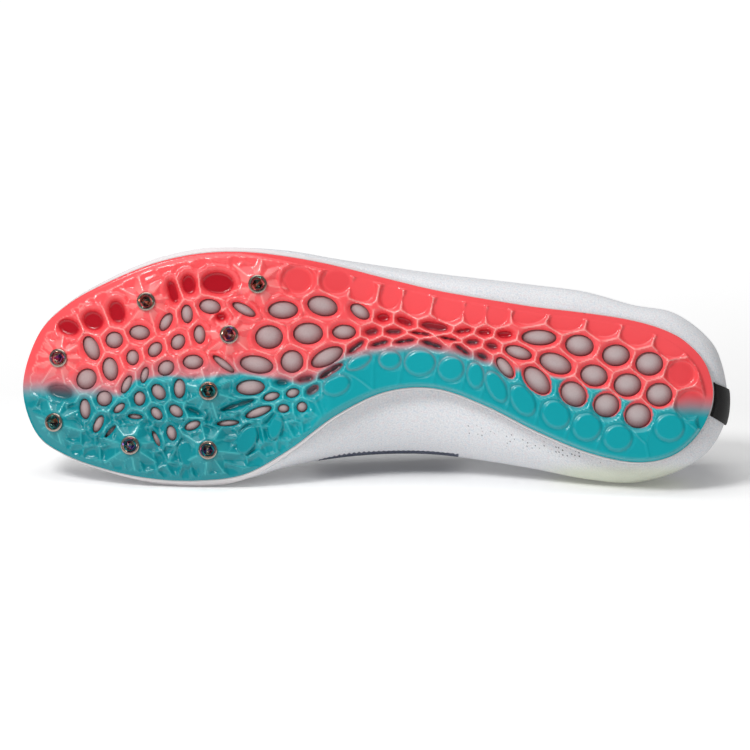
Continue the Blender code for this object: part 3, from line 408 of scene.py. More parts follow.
def resting_turn():
    """Turn and shift that best carry the seats' middles to their places in the frame (Kabsch's fit)."""
    here = np.array([origin + out * SEAT_HEIGHT / 2 for origin, out in map(seat_frame, SPIKES)])
    there = np.array([middle_of(f"spike_seat_{number}") for number in range(1, len(SPIKES) + 1)])
    u, _, v = np.linalg.svd((here - here.mean(axis=0)).T @ (there - there.mean(axis=0)))
    keep = np.diag((1.0, 1.0, np.sign(np.linalg.det(u @ v))))
    turn = (u @ keep @ v).T
    return turn, there.mean(axis=0) - turn @ here.mean(axis=0)


TURN, SHIFT = resting_turn()


def lying(points):
    """Points of the standing shoe, in the frame."""
    return np.asarray(points, float).reshape(-1, 3) @ TURN.T + SHIFT


# Meshes from arrays


def grid_faces(rows, columns, wrap=False, closed=False, start=0):
    """Quads between the points of a grid stored row by row.

    Wrap joins the last column to the first, closed joins the last row to the first.
    """
    i = np.arange(rows if closed else rows - 1)[:, None]
    j = np.arange(columns if wrap else columns - 1)[None, :]
    k, low, high = (j + 1) % columns, i * columns, (i + 1) % rows * columns
    return np.stack((low + j, low + k, high + k, high + j), -1).reshape(-1, 4) + start


def joined(parts):
    """Points and faces of parts that become one mesh; each part starts with its points and faces."""
    starts = np.cumsum([0] + [len(part[0]) for part in parts])
    return (np.vstack([part[0] for part in parts]),
            np.concatenate([part[1] + start for part, start in zip(parts, starts)]))


def add_piece(name, points, faces, look, replaced, marks=None, uv=None, angle=None):
    """Makes a mesh from frame points and equal-sided faces, and enters it as a piece of the shoe.

    Marks are point attributes for its material, uv holds the points' two places in metres of cloth, and
    angle is the fold beyond which an edge is sharp. Faces are turned outwards by the volume's sign.
    """
    points, faces = np.asarray(points, float), np.asarray(faces)
    corners = points[faces]
    fan = [(corners[:, 0], corners[:, k], corners[:, k + 1]) for k in range(1, faces.shape[1] - 1)]
    volume = sum(np.einsum("ij,ij->", a, np.cross(b, c)) for a, b, c in fan)
    if volume < 0:
        faces = faces[:, ::-1]
    mesh = bpy.data.meshes.new(name)
    mesh.from_pydata(points.tolist(), [], faces.tolist())
    if mesh.validate():
        raise RuntimeError(f"{name} has faces that meet wrongly")
    for key, values in (marks or {}).items():
        mark = mesh.attributes.new(key, "FLOAT", "POINT")
        mark.data.foreach_set("value", np.asarray(values, float).ravel())
    if uv is not None:
        layer = mesh.uv_layers.new(name="cloth")
        loops = np.zeros(len(mesh.loops), int)
        mesh.loops.foreach_get("vertex_index", loops)
        pairs = np.stack(np.broadcast_arrays(*uv), -1).reshape(-1, 2)
        layer.data.foreach_set("uv", pairs[loops].ravel())
    mesh.shade_smooth()
    if angle is not None:
        mesh.set_sharp_from_angle(angle=math.radians(angle))
    mesh.materials.append(look)
    piece = bpy.data.objects.new(name, mesh)
    bpy.context.collection.objects.link(piece)
    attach(piece, "root")
    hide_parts(*replaced)
    return piece


def tube(sections):
    """Points and quads of a skin over a row of closed sections; strips close its ends."""
    rows, columns = sections.shape[:2]
    i = np.arange(columns // 2 - 1)
    strip = np.stack((i, i + 1, columns - 2 - i, columns - 1 - i), -1)
    faces = (grid_faces(rows, columns, wrap=True), strip, strip[:, ::-1] + (rows - 1) * columns)
    return sections.reshape(-1, 3), np.concatenate(faces)


def turned_rings(profile, sides, origin, out):
    """Rings of points turned round an axis from pairs of radius and height."""
    across = unit(np.cross((0.0, 1.0, 0.0), out))
    angle = np.arange(sides)[:, None] * 2 * np.pi / sides
    circle = across * np.cos(angle) + np.cross(out, across) * np.sin(angle)
    radius, height = np.asarray(profile, float).T[:, :, None, None]
    return origin + circle[None] * radius + out * height


# The plate's relief


def cell_share(points, cell, more=0.0):
    """Distance from a cell's middle as a share of its reach, its half sizes made larger by more."""
    x, y, long, wide, turn = cell
    cos, sin = np.cos(np.radians(turn)), np.sin(np.radians(turn))
    dx, dy = points[..., 0] - x, points[..., 1] - y
    return np.hypot((dx * cos + dy * sin) / (long + more), (dy * cos - dx * sin) / (wide + more))


def cell_distance(points, cell):
    """Distance in chart units to a cell's edge along the line to its middle, negative inside."""
    away = np.hypot(points[..., 0] - cell[0], points[..., 1] - cell[1])
    return away * (1.0 - 1.0 / np.maximum(cell_share(points, cell), 1e-3))


def nearest_cells(points, cells):
    """Distance and number of the nearest and of the second nearest cell at each point."""
    first, second = np.full(len(points), np.inf), np.full(len(points), np.inf)
    one, two = np.zeros(len(points), int), np.zeros(len(points), int)
    for number, cell in enumerate(cells):
        away = cell_distance(points, cell)
        nearer = away < first
        between = ~nearer & (away < second)
        second = np.where(nearer, first, np.where(between, away, second))
        two = np.where(nearer, one, np.where(between, number, two))
        first = np.where(nearer, away, first)
        one = np.where(nearer, number, one)
    return first, one, second, two


def slope_of(function, points, step=0.05):
    """Gradient of a function of chart points, by differences over a small step."""
    x, y = np.array((step, 0.0)), np.array((0.0, step))
    return np.stack((function(points + x) - function(points - x),
                     function(points + y) - function(points - y)), -1) / (2 * step)


def nearest_on(points, line):
    """Distance in chart units from each point to a line of chart points, and the nearest spot on it."""
    best, spot = np.full(len(points), np.inf), np.array(points)
    for start, end in zip(line[:-1], line[1:]):
        run = end - start
        near = start + np.clip((points - start) @ run / (run @ run), 0.0, 1.0)[:, None] * run
        away = np.linalg.norm(points - near, axis=1)
        spot = np.where((away < best)[:, None], near, spot)
        best = np.minimum(best, away)
    return best, spot


def to_ring(points, ring):
    """Distance to a closed chart ring, positive inside, and the nearest spot on it."""
    ring = np.vstack((ring, ring[:1]))
    best, spot = nearest_on(points, ring)
    inside = np.zeros(len(points), bool)
    for (x, y), (end_x, end_y) in zip(ring[:-1], ring[1:]):
        if y != end_y:
            spans = (y > points[:, 1]) != (end_y > points[:, 1])
            inside ^= spans & (points[:, 0] < x + (points[:, 1] - y) * (end_x - x) / (end_y - y))
    return np.where(inside, best, -best), spot


PLATE_EDGE = around([row[0:2] for row in FOLDS], np.arange(360) / 10)
OUTER_PART = np.vstack((PLATE_EDGE[350:], PLATE_EDGE[:201]))
INNER_PART = PLATE_EDGE[200:351]


def lower_of(one, two, soft=0.00016):
    """The lower of two heights, with a rounded change from one to the other."""
    return -soft * np.logaddexp(-one / soft, -two / soft)


def higher_of(one, two, soft):
    """The higher of two heights, with a rounded change from one to the other."""
    return soft * np.logaddexp(one / soft, two / soft)


# Pockets of the outer edge and the heel that are as shallow as the scallops
OPEN_POCKETS = tuple(len(WINDOWS) + k for k, cell in enumerate(POCKETS) if cell[3] > 11 and cell[0] > 290)


def arch_share(points):
    """1 in the waist near the line between the two colours, fading to 0 away from it."""
    x, away = points[:, 0], np.abs(colour_border(points[:, 0]) - points[:, 1])
    return smooth((x - 290) / 30) * smooth((530 - x) / 30) * smooth(1.2 - away / 26)


def crumpled(points, pitch=15.0):
    """Second nearest less nearest distance to seeds that sit a little off a square grid's points."""
    first, second = np.full(len(points), np.inf), np.full(len(points), np.inf)
    own = np.round(points / pitch)
    for step in np.ndindex(3, 3):
        seed = own + np.array(step) - 1
        turn = np.sin(seed @ np.array((12.9, 78.2))) * 43.7
        seat = (seed + 0.42 * np.column_stack((np.sin(turn), np.cos(1.7 * turn)))) * pitch
        away = np.linalg.norm(points - seat, axis=1)
        second = np.minimum(second, np.maximum(first, away))
        first = np.minimum(first, away)
    return second - first


def plate_relief(points):
    """Rise of the ribs over the plate's skin in metres, a share of painted shade, a share of painted
    highlight and a share of flank.

    Ribs are tents midway between cells. Pockets and scallops are bowls, coins are shallow trays with
    faint ridges between them, webs like a star's rays climb to each spike's boss, and the open land
    of the forefoot is folded like paper. A bevel along the edge cuts the ribs down to Y-shaped tips.
    """
    tented = WINDOWS + POCKETS + SCALLOPS
    x = points[:, 0]
    low, number = nearest_cells(points, tented)[:2]
    first, one, second, _ = nearest_cells(points, tented + COINS)
    gap, first, low = (second - first) * UNIT, first * UNIT, low * UNIT
    first_scallop = len(WINDOWS) + len(POCKETS)
    opened = np.isin(number, OPEN_POCKETS)
    pocket = (number >= len(WINDOWS)) & (number < first_scallop)
    scallop = (number >= first_scallop) | opened
    fore = smooth((335 - x) / 30)
    inside = smooth((points[:, 1] - colour_border(x)) / 14)

    # Ribs, then the bowls of pockets and the dishes of scallops
    top = RIB_RISE - LAND_DROP * smooth((low - 0.0018) / 0.0016) * fore
    rise = lower_of(EDGE_STEP + RIB_SLOPE * low, top)
    bowl = higher_of(EDGE_STEP + POCKET_SLOPE * low, -POCKET_DEPTH, 0.0003)
    rise = np.where(pocket & (low < 0), bowl, rise)
    dish = 0.00015 + higher_of(DISH_SLOPE * (low - 0.0005), 0.0, 0.0002)
    rise = np.where(scallop, lower_of(dish, top), rise)
    # Coins: a low table in a groove, and a faint ridge between two of them
    tray = nearest_cells(points, COINS)[0]
    rise = (rise + COIN_RISE * smooth(0.3 - tray / 1.8)
            - COIN_RISE / 2 * smooth(1.0 - np.abs(tray - 2.0) / 2.0))
    banded = one >= len(tented)
    rise = rise + COIN_RISE / 2 * banded * smooth(1.0 - gap / 0.0012) * smooth(first / 0.0008)
    # Folds of the open land
    folds = crumpled(points)
    paper = smooth((low - 0.0009) / 0.0010) * fore * (0.35 + 0.65 * inside) * (tray > 0)
    rise = rise - 0.52 * np.minimum(folds, 7.0) * UNIT * paper

    # Webs of each boss: distance to the crease between two rays, and a painted highlight on one side of
    # each ray
    crease, lit = np.full(len(points), np.inf), np.zeros(len(points))
    for spot_x, spot_y, rays in SPIKES:
        dx, dy = (x - spot_x) * UNIT_X, (points[:, 1] - spot_y) * UNIT_Y
        away = np.maximum(np.hypot(dx, dy) - BOSS_RADIUS + 0.0003, 0.0)
        angle = np.arctan2(dy, dx)
        turn = angle * rays / (2 * np.pi) + spot_x + 0.15 * np.sin(2 * angle + spot_y)
        ray = np.abs((turn % 1.0) - 0.5) * 2.0
        web = BOSS_RISE - (0.24 + 0.46 * (1.0 - ray)) * away
        web = np.minimum(web, EDGE_STEP + POCKET_SLOPE * np.maximum(low, 0.0))
        taken = (web > rise) & (away < WEB_REACH) & (low > 0)
        rise = np.where(taken, web, rise)
        side = (1.0 - ray) * (away + BOSS_RADIUS) * np.pi / rays
        crease = np.where(taken & (away > 0.0003), np.minimum(crease, side), crease)
        lit = np.where(taken & (turn % 1.0 > 0.5), 0.45 * smooth(1.0 - away / 0.0080), lit)

    # Bevel: where it starts and how wide it is, along the outer and the inner edge
    outer, inner = (nearest_on(points, part)[0] * UNIT for part in (OUTER_PART, INNER_PART))
    start_out = np.interp(x, (240, 300, 640, 680), (0.0008, 0.0024, 0.0024, 0.0034))
    wide_out = np.interp(x, (60, 120, 180, 250, 300), (0.0062, 0.0052, 0.0036, 0.0026, 0.0012))
    wide_in = np.interp(x, (60, 250, 330, 400), (0.0046, 0.0046, 0.0028, 0.0014))
    bevel = np.minimum(np.clip(outer - start_out, 0.0, None) / wide_out,
                       np.clip(inner - 0.0004, 0.0, None) / wide_in)
    cut = BOSS_RISE * bevel
    # Crown: painted highlight along the line where the bevel cuts the ribs, which draws their Y-shaped
    # tips
    crown = smooth(1.0 - np.abs(rise - cut) / 0.00024) * smooth((rise - 0.0007) / 0.0005)
    rise = np.maximum(np.where(rise > 0, lower_of(rise, cut), rise), -POCKET_DEPTH)

    # Painted shade: 1 at the floor of a pocket, less on flanks and round coins, and some inside the toe
    floor = np.where(opened, 0.12, 0.85 * (1.0 + 0.18 * arch_share(points)) * pocket)
    flank = smooth((0.0011 - low) / 0.0011)
    painted_shade = floor * smooth(-low / 0.0012) + 0.12 * flank * ~scallop * (low > 0)
    painted_shade = np.maximum(painted_shade, 0.16 * smooth(1.0 - np.abs(tray - 1.0) / 2.0))
    painted_shade = np.maximum(painted_shade, 0.36 * smooth((310 - x) / 90) * inside)
    # Painted highlight: 1 on narrow crests, less on creases, folds, one side of each ray and the bevel's
    # upper end
    between = (one >= first_scallop) & (x > 320) & ~banded
    crest_highlight = smooth(1.0 - gap / np.where(between, 0.0013, 0.00055)) * smooth((first - 0.0003) / 0.0004)
    crest_highlight = crest_highlight * smooth((0.0030 - first) / 0.0010) * np.where(banded, 0.35, 1.0)
    crest_highlight = np.maximum(crest_highlight, 0.8 * smooth(1.0 - crease / 0.0005))
    crest_highlight = np.maximum(crest_highlight, 0.45 * smooth(1.0 - folds / 1.2) * paper)
    crest_highlight = np.maximum(crest_highlight, lit * (1.0 - 0.6 * inside)) * smooth((rise - 0.0009) / 0.0006)
    crest_highlight = np.maximum(crest_highlight, (0.65 - 0.35 * inside) * crown)
    return rise, painted_shade, crest_highlight, flank * ~scallop


def plate_grid(step):
    """Triangles of the plate's face on a chart grid whose points are drawn onto its features.

    A grid point that lies within half a step of a window's edge, the outline or a rib's crest moves
    onto it, and each square is cut along the diagonal that follows the feature.
    """
    x = np.arange(CHART_TOE - 3.0, CHART_HEEL + 4.0, step)
    y = np.arange(PLATE_EDGE[:, 1].min() - 3.0, PLATE_EDGE[:, 1].max() + 4.0, step)
    points = np.stack(np.meshgrid(x, y, indexing="ij"), -1).reshape(-1, 2)
    cells = np.array(WINDOWS + POCKETS + SCALLOPS)

    def onto(function, value):
        """The points carried down a function's slope to where it is 0."""
        fall = slope_of(function, points)
        return points - fall * (value / np.maximum((fall**2).sum(axis=1), 1e-9))[:, None]

    within, on_ring = to_ring(points, PLATE_EDGE)
    away, number = nearest_cells(points, WINDOWS)[:2]
    own = cells[number].T
    on_window = onto(lambda p: cell_distance(p, own), away)
    first, one, second, two = nearest_cells(points, cells)
    near, far = cells[one].T, cells[two].T
    on_crest = onto(lambda p: cell_distance(p, near) - cell_distance(p, far), first - second)

    ring, edge, crest = (np.linalg.norm(spot - points, axis=1) < 0.5 * step
                         for spot in (on_ring, on_window, on_crest))
    edge &= ~ring & (within > 0)
    crest &= ~ring & ~edge & (first > 1.0) & (first * UNIT < 0.0022)
    state = np.where((within < 0) | (away < 0), -1, 1)
    state[ring | edge] = 0
    for moved, spot in ((ring, on_ring), (edge, on_window), (crest, on_crest)):
        points = np.where(moved[:, None], spot, points)

    # State is -1 outside the plate or in a window, 0 on an edge and 1 on the plate
    a, b, c, d = grid_faces(len(x), len(y)).T
    on = (state == 0) | crest
    cut_bd = (state[a] * state[c] == -1) | (on[b] & on[d] & ~(on[a] & on[c]))
    cut_bd &= state[b] * state[d] != -1
    triangles = np.concatenate((np.stack((a, b, np.where(cut_bd, d, c)), -1),
                                np.stack((np.where(cut_bd, b, a), c, d), -1)))
    kinds = state[triangles]
    keep = (kinds.min(axis=1) >= 0) & (kinds.max(axis=1) > 0)
    flat = kinds.max(axis=1) == 0
    middle = points[triangles[flat]].mean(axis=1)
    solid = (to_ring(middle, PLATE_EDGE)[0] > 0) & (nearest_cells(middle, WINDOWS)[0] > 0)
    keep[flat] = solid & (kinds[flat].min(axis=1) >= 0)
    used, triangles = np.unique(triangles[keep], return_inverse=True)
    return points[used], triangles.reshape(-1, 3)


def border_edges(triangles):
    """Edges that only one triangle uses, in that triangle's direction."""
    edges = np.concatenate((triangles[:, [0, 1]], triangles[:, [1, 2]], triangles[:, [2, 0]]))
    keys = np.sort(edges, axis=1)
    keys = keys[:, 0] * (triangles.max() + 1) + keys[:, 1]
    _, place, times = np.unique(keys, return_inverse=True, return_counts=True)
    return edges[times[place] == 1]


# Materials


def linear(hex_colour):
    """Linear red, green, blue and alpha of an sRGB hex colour."""
    parts = [int(hex_colour[k:k + 2], 16) / 255 for k in (1, 3, 5)]
    return tuple(v / 12.92 if v <= 0.04045 else ((v + 0.055) / 1.055) ** 2.4 for v in parts) + (1.0,)


# Output that the looks use of a kind of node, where it isn't the first
USED_OUTPUT = {"Attribute": "Fac", "TexCoord": "Object", "Mix": 2}


def new_look(name):
    """A material with a principled surface."""
    look = bpy.data.materials.new(name)
    look.use_nodes = True
    return look


def fill(look, node, inputs):
    """Gives each input of the node of that name a number, a hex colour or another node's output."""
    places = look.node_tree.nodes[node].inputs
    for key, value in inputs.items():
        if isinstance(value, bpy.types.NodeSocket):
            look.node_tree.links.new(value, places[key])
        else:
            places[key].default_value = linear(value) if isinstance(value, str) else value


def add_node(look, kind, inputs=None, **settings):
    """Adds a shader node with its settings and links, and returns the output that the looks use."""
    made = look.node_tree.nodes.new("ShaderNode" + kind)
    stops = sorted(settings.pop("stops", ()))
    for place, _ in stops[2:]:
        made.color_ramp.elements.new(place)
    for number, (place, colour) in enumerate(stops):
        mark = made.color_ramp.elements[number]
        mark.position, mark.color = place, linear(colour)
    for key, value in settings.items():
        setattr(made, key, value)
    fill(look, made.name, inputs or {})
    return made.outputs[USED_OUTPUT.get(kind, 0)]


def crossed_waves(look, where, across, along):
    """Height of two crossed sine waves of these lengths, like a knit's loops or a weave's knots."""
    parts = add_node(look, "SeparateXYZ", {"Vector": where}).node
    waves = []
    for axis, length in (("X", across), ("Y", along)):
        angle = add_node(look, "Math", {0: parts.outputs[axis], 1: 2 * math.pi / length},
                         operation="MULTIPLY")
        waves.append(add_node(look, "Math", {0: angle}, operation="SINE"))
    return add_node(look, "Math", {0: waves[0], 1: waves[1]}, operation="MULTIPLY")


def plate_look(colours):
    """Injection-moulded nylon-like plastic: glossy, with paler crests as painted highlight and darker
    pockets and flanks as painted shade.
    """
    look = new_look("moulded_polyamide")
    painted_shade, side, crest_highlight = (add_node(look, "Attribute", attribute_name=mark)
                          for mark in ("painted_shade", "coral_share", "crest_highlight"))
    # Painted shade: coral and teal darken to their flank, pocket and waist shades in recesses
    coral = add_node(look, "ValToRGB", {"Fac": painted_shade}, stops=(
        (0.0, colours.coral), (0.35, colours.coral_low), (0.85, colours.coral_deep),
        (1.0, colours.coral_wine)))
    teal = add_node(look, "ValToRGB", {"Fac": painted_shade}, stops=(
        (0.0, colours.teal), (0.35, colours.teal_low), (1.0, colours.teal_deep)))
    # Painted highlight: crests get paler coral and teal
    highlight_share = add_node(look, "Math", {0: crest_highlight, 1: 0.7}, operation="MULTIPLY")
    body, pale = (add_node(look, "Mix", {0: side, 6: one, 7: two}, data_type="RGBA")
                  for one, two in ((teal, coral), (colours.teal_crest, colours.coral_crest)))
    colour = add_node(look, "Mix", {0: highlight_share, 6: body, 7: pale}, data_type="RGBA")
    # Mould grain of 1 mm
    grain = add_node(look, "TexNoise", {"Vector": add_node(look, "TexCoord"), "Scale": 900.0,
                                        "Detail": 2.0})
    bumped = add_node(look, "Bump", {"Height": grain, "Distance": 0.00006, "Strength": 0.3})
    fill(look, "Principled BSDF", {
        "Base Color": colour, "Roughness": 0.28, "Specular IOR Level": 0.3, "Coat Weight": 0.35,
        "Coat Roughness": 0.06, "Normal": bumped})
    return look


def foam_look(colours):
    """Moulded closed-cell foam: matt, slightly speckled, pinker under the ball than at the heel.

    Under the plate it is painted shade tinted with the coral's reflected pink, and painted darker still
    where it dips behind a window's edge, most at the window's lower side.
    """
    look = new_look("closed_cell_foam")
    where = add_node(look, "TexCoord")
    along = add_node(look, "SeparateXYZ", {"Vector": where})
    rear = add_node(look, "MapRange", {"Value": along, "From Min": -0.11, "From Max": 0.11})
    dip, under = (add_node(look, "Attribute", attribute_name=mark) for mark in ("dip", "shade_under_plate"))
    # Skin of the foam: specks of 0.6 mm
    speck = add_node(look, "TexNoise", {"Vector": where, "Scale": 1600.0, "Detail": 3.0})
    faint = add_node(look, "Math", {0: speck, 1: 0.12}, operation="MULTIPLY")
    # Painted shade with reflected pink under the plate, and more painted shade where the foam dips behind
    # a window
    colour = colours.foam_fore
    for share, paint in ((rear, colours.foam_heel), (dip, colours.foam_dip)):
        colour = add_node(look, "Mix", {0: share, 6: colour, 7: paint}, data_type="RGBA")
    colour = add_node(look, "Mix", {0: under, 6: colours.foam_side, 7: colour}, data_type="RGBA")
    colour = add_node(look, "Mix", {0: faint, 6: colour, 7: "#FFFFFF"}, data_type="RGBA")
    bumped = add_node(look, "Bump", {"Height": speck, "Distance": 0.0001, "Strength": 0.4})
    fill(look, "Principled BSDF", {
        "Base Color": colour, "Roughness": 0.7, "Sheen Weight": 0.1, "Normal": bumped})
    return look


def knit_look(name, colours, pitch, saddle=False):
    """Engineered polyester knit: matt with a soft sheen, fine loops and a few faint glints of colour.

    The upper also has a navy saddle patch with a jagged edge, a warm tint low at the heel and rows of
    pinholes, each where a point attribute says.
    """
    look = new_look(name)
    where = add_node(look, "UVMap", uv_map="cloth")
    # Loops: one loop wide and four fifths of a loop high
    loops = crossed_waves(look, where, pitch, 0.8 * pitch)
    # Yarn: shade and glints in patches of 0.7 mm and 1.4 mm
    speck = add_node(look, "TexNoise", {"Vector": where, "Scale": 1500.0, "Detail": 1.0})
    colour = add_node(look, "ValToRGB", {"Fac": speck}, stops=(
        (0.30, colours.knit_shade), (0.55, colours.knit), (0.75, colours.knit_light)))
    hue = add_node(look, "TexNoise", {"Vector": where, "Scale": 700.0, "Detail": 0.0})
    glint = add_node(look, "ValToRGB", {"Fac": hue}, stops=(
        (0.28, "#CBD6E2"), (0.42, colours.knit), (0.58, colours.knit), (0.74, "#E4D6DA")))
    layers = [(0.35, glint)]
    if saddle:
        warm, band, edge, rim = (add_node(look, "Attribute", attribute_name=mark)
                                 for mark in ("warm", "pinholes", "saddle", "to_rim"))
        # Pinholes 1.8 mm apart and 0.6 mm wide, painted dark as the shade inside them
        holes = add_node(look, "TexVoronoi", {"Vector": where, "Scale": 560.0, "Randomness": 0.35})
        near = add_node(look, "MapRange", {"Value": holes, "From Min": 0.22, "From Max": 0.14})
        pin = add_node(look, "Math", {0: near, 1: band}, operation="MULTIPLY")
        # Jagged edge: teeth 2 mm apart
        lengthwise = add_node(look, "SeparateXYZ", {"Vector": add_node(look, "TexCoord")})
        teeth = add_node(look, "Math", {0: lengthwise, 1: 0.0010}, operation="PINGPONG")
        ragged = add_node(look, "Math", {0: teeth, 1: 0.6, 2: edge}, operation="MULTIPLY_ADD")
        dark = add_node(look, "MapRange", {"Value": ragged, "From Min": 0.0, "From Max": 0.0004})
        # Collar: binding 3.2 mm wide, and stitches 3 mm apart 1.6 mm below it
        bound = add_node(look, "MapRange", {"Value": rim, "From Min": 0.0034, "From Max": 0.0032})
        row = add_node(look, "Math", {0: rim, 1: 0.0048, 2: 0.0003}, operation="COMPARE")
        round_shoe = add_node(look, "SeparateXYZ", {"Vector": where})
        turn = add_node(look, "Math", {0: round_shoe, 1: 0.0015}, operation="PINGPONG")
        dash = add_node(look, "Math", {0: turn, 1: 0.0010}, operation="LESS_THAN")
        stitch = add_node(look, "Math", {0: row, 1: dash}, operation="MULTIPLY")
        layers += [(warm, colours.warm_tint), (pin, "#3A3C44"), (dark, colours.navy),
                   (bound, colours.binding), (stitch, colours.binding)]
    for share, paint in layers:
        colour = add_node(look, "Mix", {0: share, 6: colour, 7: paint}, data_type="RGBA")
    bumped = add_node(look, "Bump", {"Height": loops, "Distance": 0.00015, "Strength": 0.45})
    fill(look, "Principled BSDF", {
        "Base Color": colour, "Roughness": 0.85, "Sheen Weight": 0.2, "Sheen Roughness": 0.5,
        "Normal": bumped})
    return look


def woven_look(name, colour, pitch, roughness, sheen, laid_out=False):
    """Close woven cloth: matt yarn that catches a soft light on each of its small knots.

    Laid out cloth has its knots along its own length and width.
    """
    look = new_look(name)
    where = add_node(look, "UVMap", uv_map="cloth") if laid_out else add_node(look, "TexCoord")
    # Knots one yarn apart
    weave = crossed_waves(look, where, pitch, pitch)
    bumped = add_node(look, "Bump", {"Height": weave, "Distance": 0.0001, "Strength": 0.5})
    fill(look, "Principled BSDF", {
        "Base Color": colour, "Roughness": roughness, "Sheen Weight": sheen, "Normal": bumped})
    return look


def film_look(colours):
    """Pressed polyurethane film: half matt with a fine grain, with painted rings and a near-black cap in
    each eyelet as painted shade.
    """
    look = new_look("pressed_polyurethane_film")
    colour = colours.navy
    for mark, paint in (("eyelet", colours.eyelet), ("hole_shade", "#050507")):
        share = add_node(look, "Attribute", attribute_name=mark)
        colour = add_node(look, "Mix", {0: share, 6: colour, 7: paint}, data_type="RGBA")
    # Pressed grain of 0.5 mm
    grain = add_node(look, "TexNoise", {"Vector": add_node(look, "TexCoord"), "Scale": 1800.0})
    bumped = add_node(look, "Bump", {"Height": grain, "Distance": 0.00008, "Strength": 0.4})
    fill(look, "Principled BSDF", {
        "Base Color": colour, "Roughness": 0.45, "Coat Weight": 0.1, "Normal": bumped})
    return look


def seat_look():
    """Bright turned steel: a pale ring round each spike."""
    look = new_look("turned_steel")
    fill(look, "Principled BSDF", {"Base Color": "#A8998F", "Metallic": 1.0, "Roughness": 0.24})
    return look


def spike_look():
    """Steel with an oxide film and painted reflections: each facet takes its own colour, violet, gold and
    green from the film, near black and pale as painted reflections.
    """
    look = new_look("oxide_steel_painted_reflections")
    facet = add_node(look, "Attribute", attribute_name="facet")
    # Oxide hues, and near-black and pale facets as painted reflections
    film = add_node(look, "ValToRGB", {"Fac": facet}, stops=(
        (0.0, "#2B2A33"), (0.2, "#6E4FB0"), (0.4, "#D98A6A"), (0.6, "#E9DCCB"), (0.8, "#3FA39A"),
        (1.0, "#8F3E6E")))
    fill(look, "Principled BSDF", {"Base Color": film, "Metallic": 1.0, "Roughness": 0.22})
    return look


def paper_look():
    """White paper with a painted glow: it emits a little light near the shoe and more from 0.15 m behind
    the shoe on, like a lit backdrop.
    """
    look = new_look("white_paper")
    place = add_node(look, "SeparateXYZ", {"Vector": add_node(look, "TexCoord")}).node
    glow = add_node(look, "MapRange", {"Value": place.outputs["Y"], "From Min": 0.15, "From Max": 0.9,
                                       "To Min": 0.09, "To Max": 0.75})
    fill(look, "Principled BSDF", {"Base Color": "#FFFFFF", "Roughness": 0.9,
                                   "Emission Color": "#FFFFFF", "Emission Strength": glow})
    return look


# Settings a user would change


# Key, label, what it colours, and its sRGB hex value
COLOURS = (
    ("coral", "Coral", "Outer side of the plate", "#F45358"),
    # Coral crest is painted highlight; coral flank, pocket and waist are painted shade
    ("coral_crest", "Coral crest", "Thin crests of the outer ribs", "#FFB2AC"),
    ("coral_low", "Coral flank", "Low flanks of the outer ribs", "#D42C37"),
    ("coral_deep", "Coral pocket", "Floor of the outer pockets", "#AC0019"),
    ("coral_wine", "Coral, waist", "Floor of the pockets in the waist", "#4E0A18"),
    ("teal", "Teal", "Inner side of the plate", "#009CA6"),
    # Teal crest is painted highlight; teal flank and pocket are painted shade
    ("teal_crest", "Teal crest", "Thin crests of the inner ribs", "#5CCBCC"),
    ("teal_low", "Teal flank", "Low flanks of the inner ribs", "#00858F"),
    ("teal_deep", "Teal pocket", "Floor of the inner pockets", "#024C55"),
    # Foam front and heel are the foam under the plate in painted shade with the coral's reflected pink;
    # foam dip is more painted shade
    ("foam_fore", "Foam, front", "Foam under the ball", "#A58B8B"),
    ("foam_heel", "Foam, heel", "Foam under the heel", "#AFA0A0"),
    ("foam_dip", "Foam, dip", "Foam where it dips behind a window's edge", "#7E4247"),
    ("foam_side", "Foam, side", "Foam's side round the plate", "#E4DEDF"),
    ("knit", "Knit", "Upper and tongue", "#E4E5E8"),
    ("knit_shade", "Knit shade", "Between the knit's loops", "#D3D5DA"),
    ("knit_light", "Knit light", "Tops of the knit's loops", "#F3F3F5"),
    ("warm_tint", "Warm tint", "Low at the inner side of the heel", "#DEE3CC"),
    ("binding", "Binding", "Collar's edge and its stitches", "#AEB3BE"),
    ("eyelet", "Eyelet", "Painted rings", "#C9CDD6"),
    ("navy", "Navy", "Film round the throat and saddle patch", "#15284A"),
    ("tape", "Tape", "Woven heel tape", "#060607"),
    ("lace", "Lace", "Flat lace", "#20242E"),
    ("cloth", "Insole", "Insole cloth", "#2A2D36"),
)


class ShoeColours(bpy.types.PropertyGroup):
    """Colours of the shoe's finishes, as sRGB hex values."""
    __annotations__ = {key: bpy.props.StringProperty(name=label, description=says, default=value)
                       for key, label, says, value in COLOURS}


class ShoeSizes(bpy.types.PropertyGroup):
    """Sizes of the finer forms."""
    plate_step: bpy.props.FloatProperty(
        name="Plate grid", description="Step of the plate's grid in chart units", default=1.2)
    rear_step: bpy.props.FloatProperty(
        name="Rear grid", description="Step of the plate's hidden back in chart units", default=3.2)
    foam_swell: bpy.props.FloatProperty(
        name="Foam swell", description="How far the foam stands into each window", default=0.0027,
        unit="LENGTH")
    knit_pitch: bpy.props.FloatProperty(
        name="Knit pitch", description="Width of one loop of the knit", default=0.0011, unit="LENGTH")


class StageSettings(bpy.types.PropertyGroup):
    """Camera and lights."""
    view_width: bpy.props.FloatProperty(
        name="View width", description="Width of the view at the sole", default=0.300, unit="LENGTH")
    distance: bpy.props.FloatProperty(
        name="Distance", description="Camera to the sole", default=2.4, unit="LENGTH")
    key: bpy.props.FloatProperty(name="Key", description="Power of the top softbox, watts", default=6.5)
    front: bpy.props.FloatProperty(
        name="Front", description="Power of the front softbox, watts", default=10.5)
    sky: bpy.props.FloatProperty(name="Sky", description="Strength of the even light", default=0.18)


# Operators, one for each piece or group of like pieces


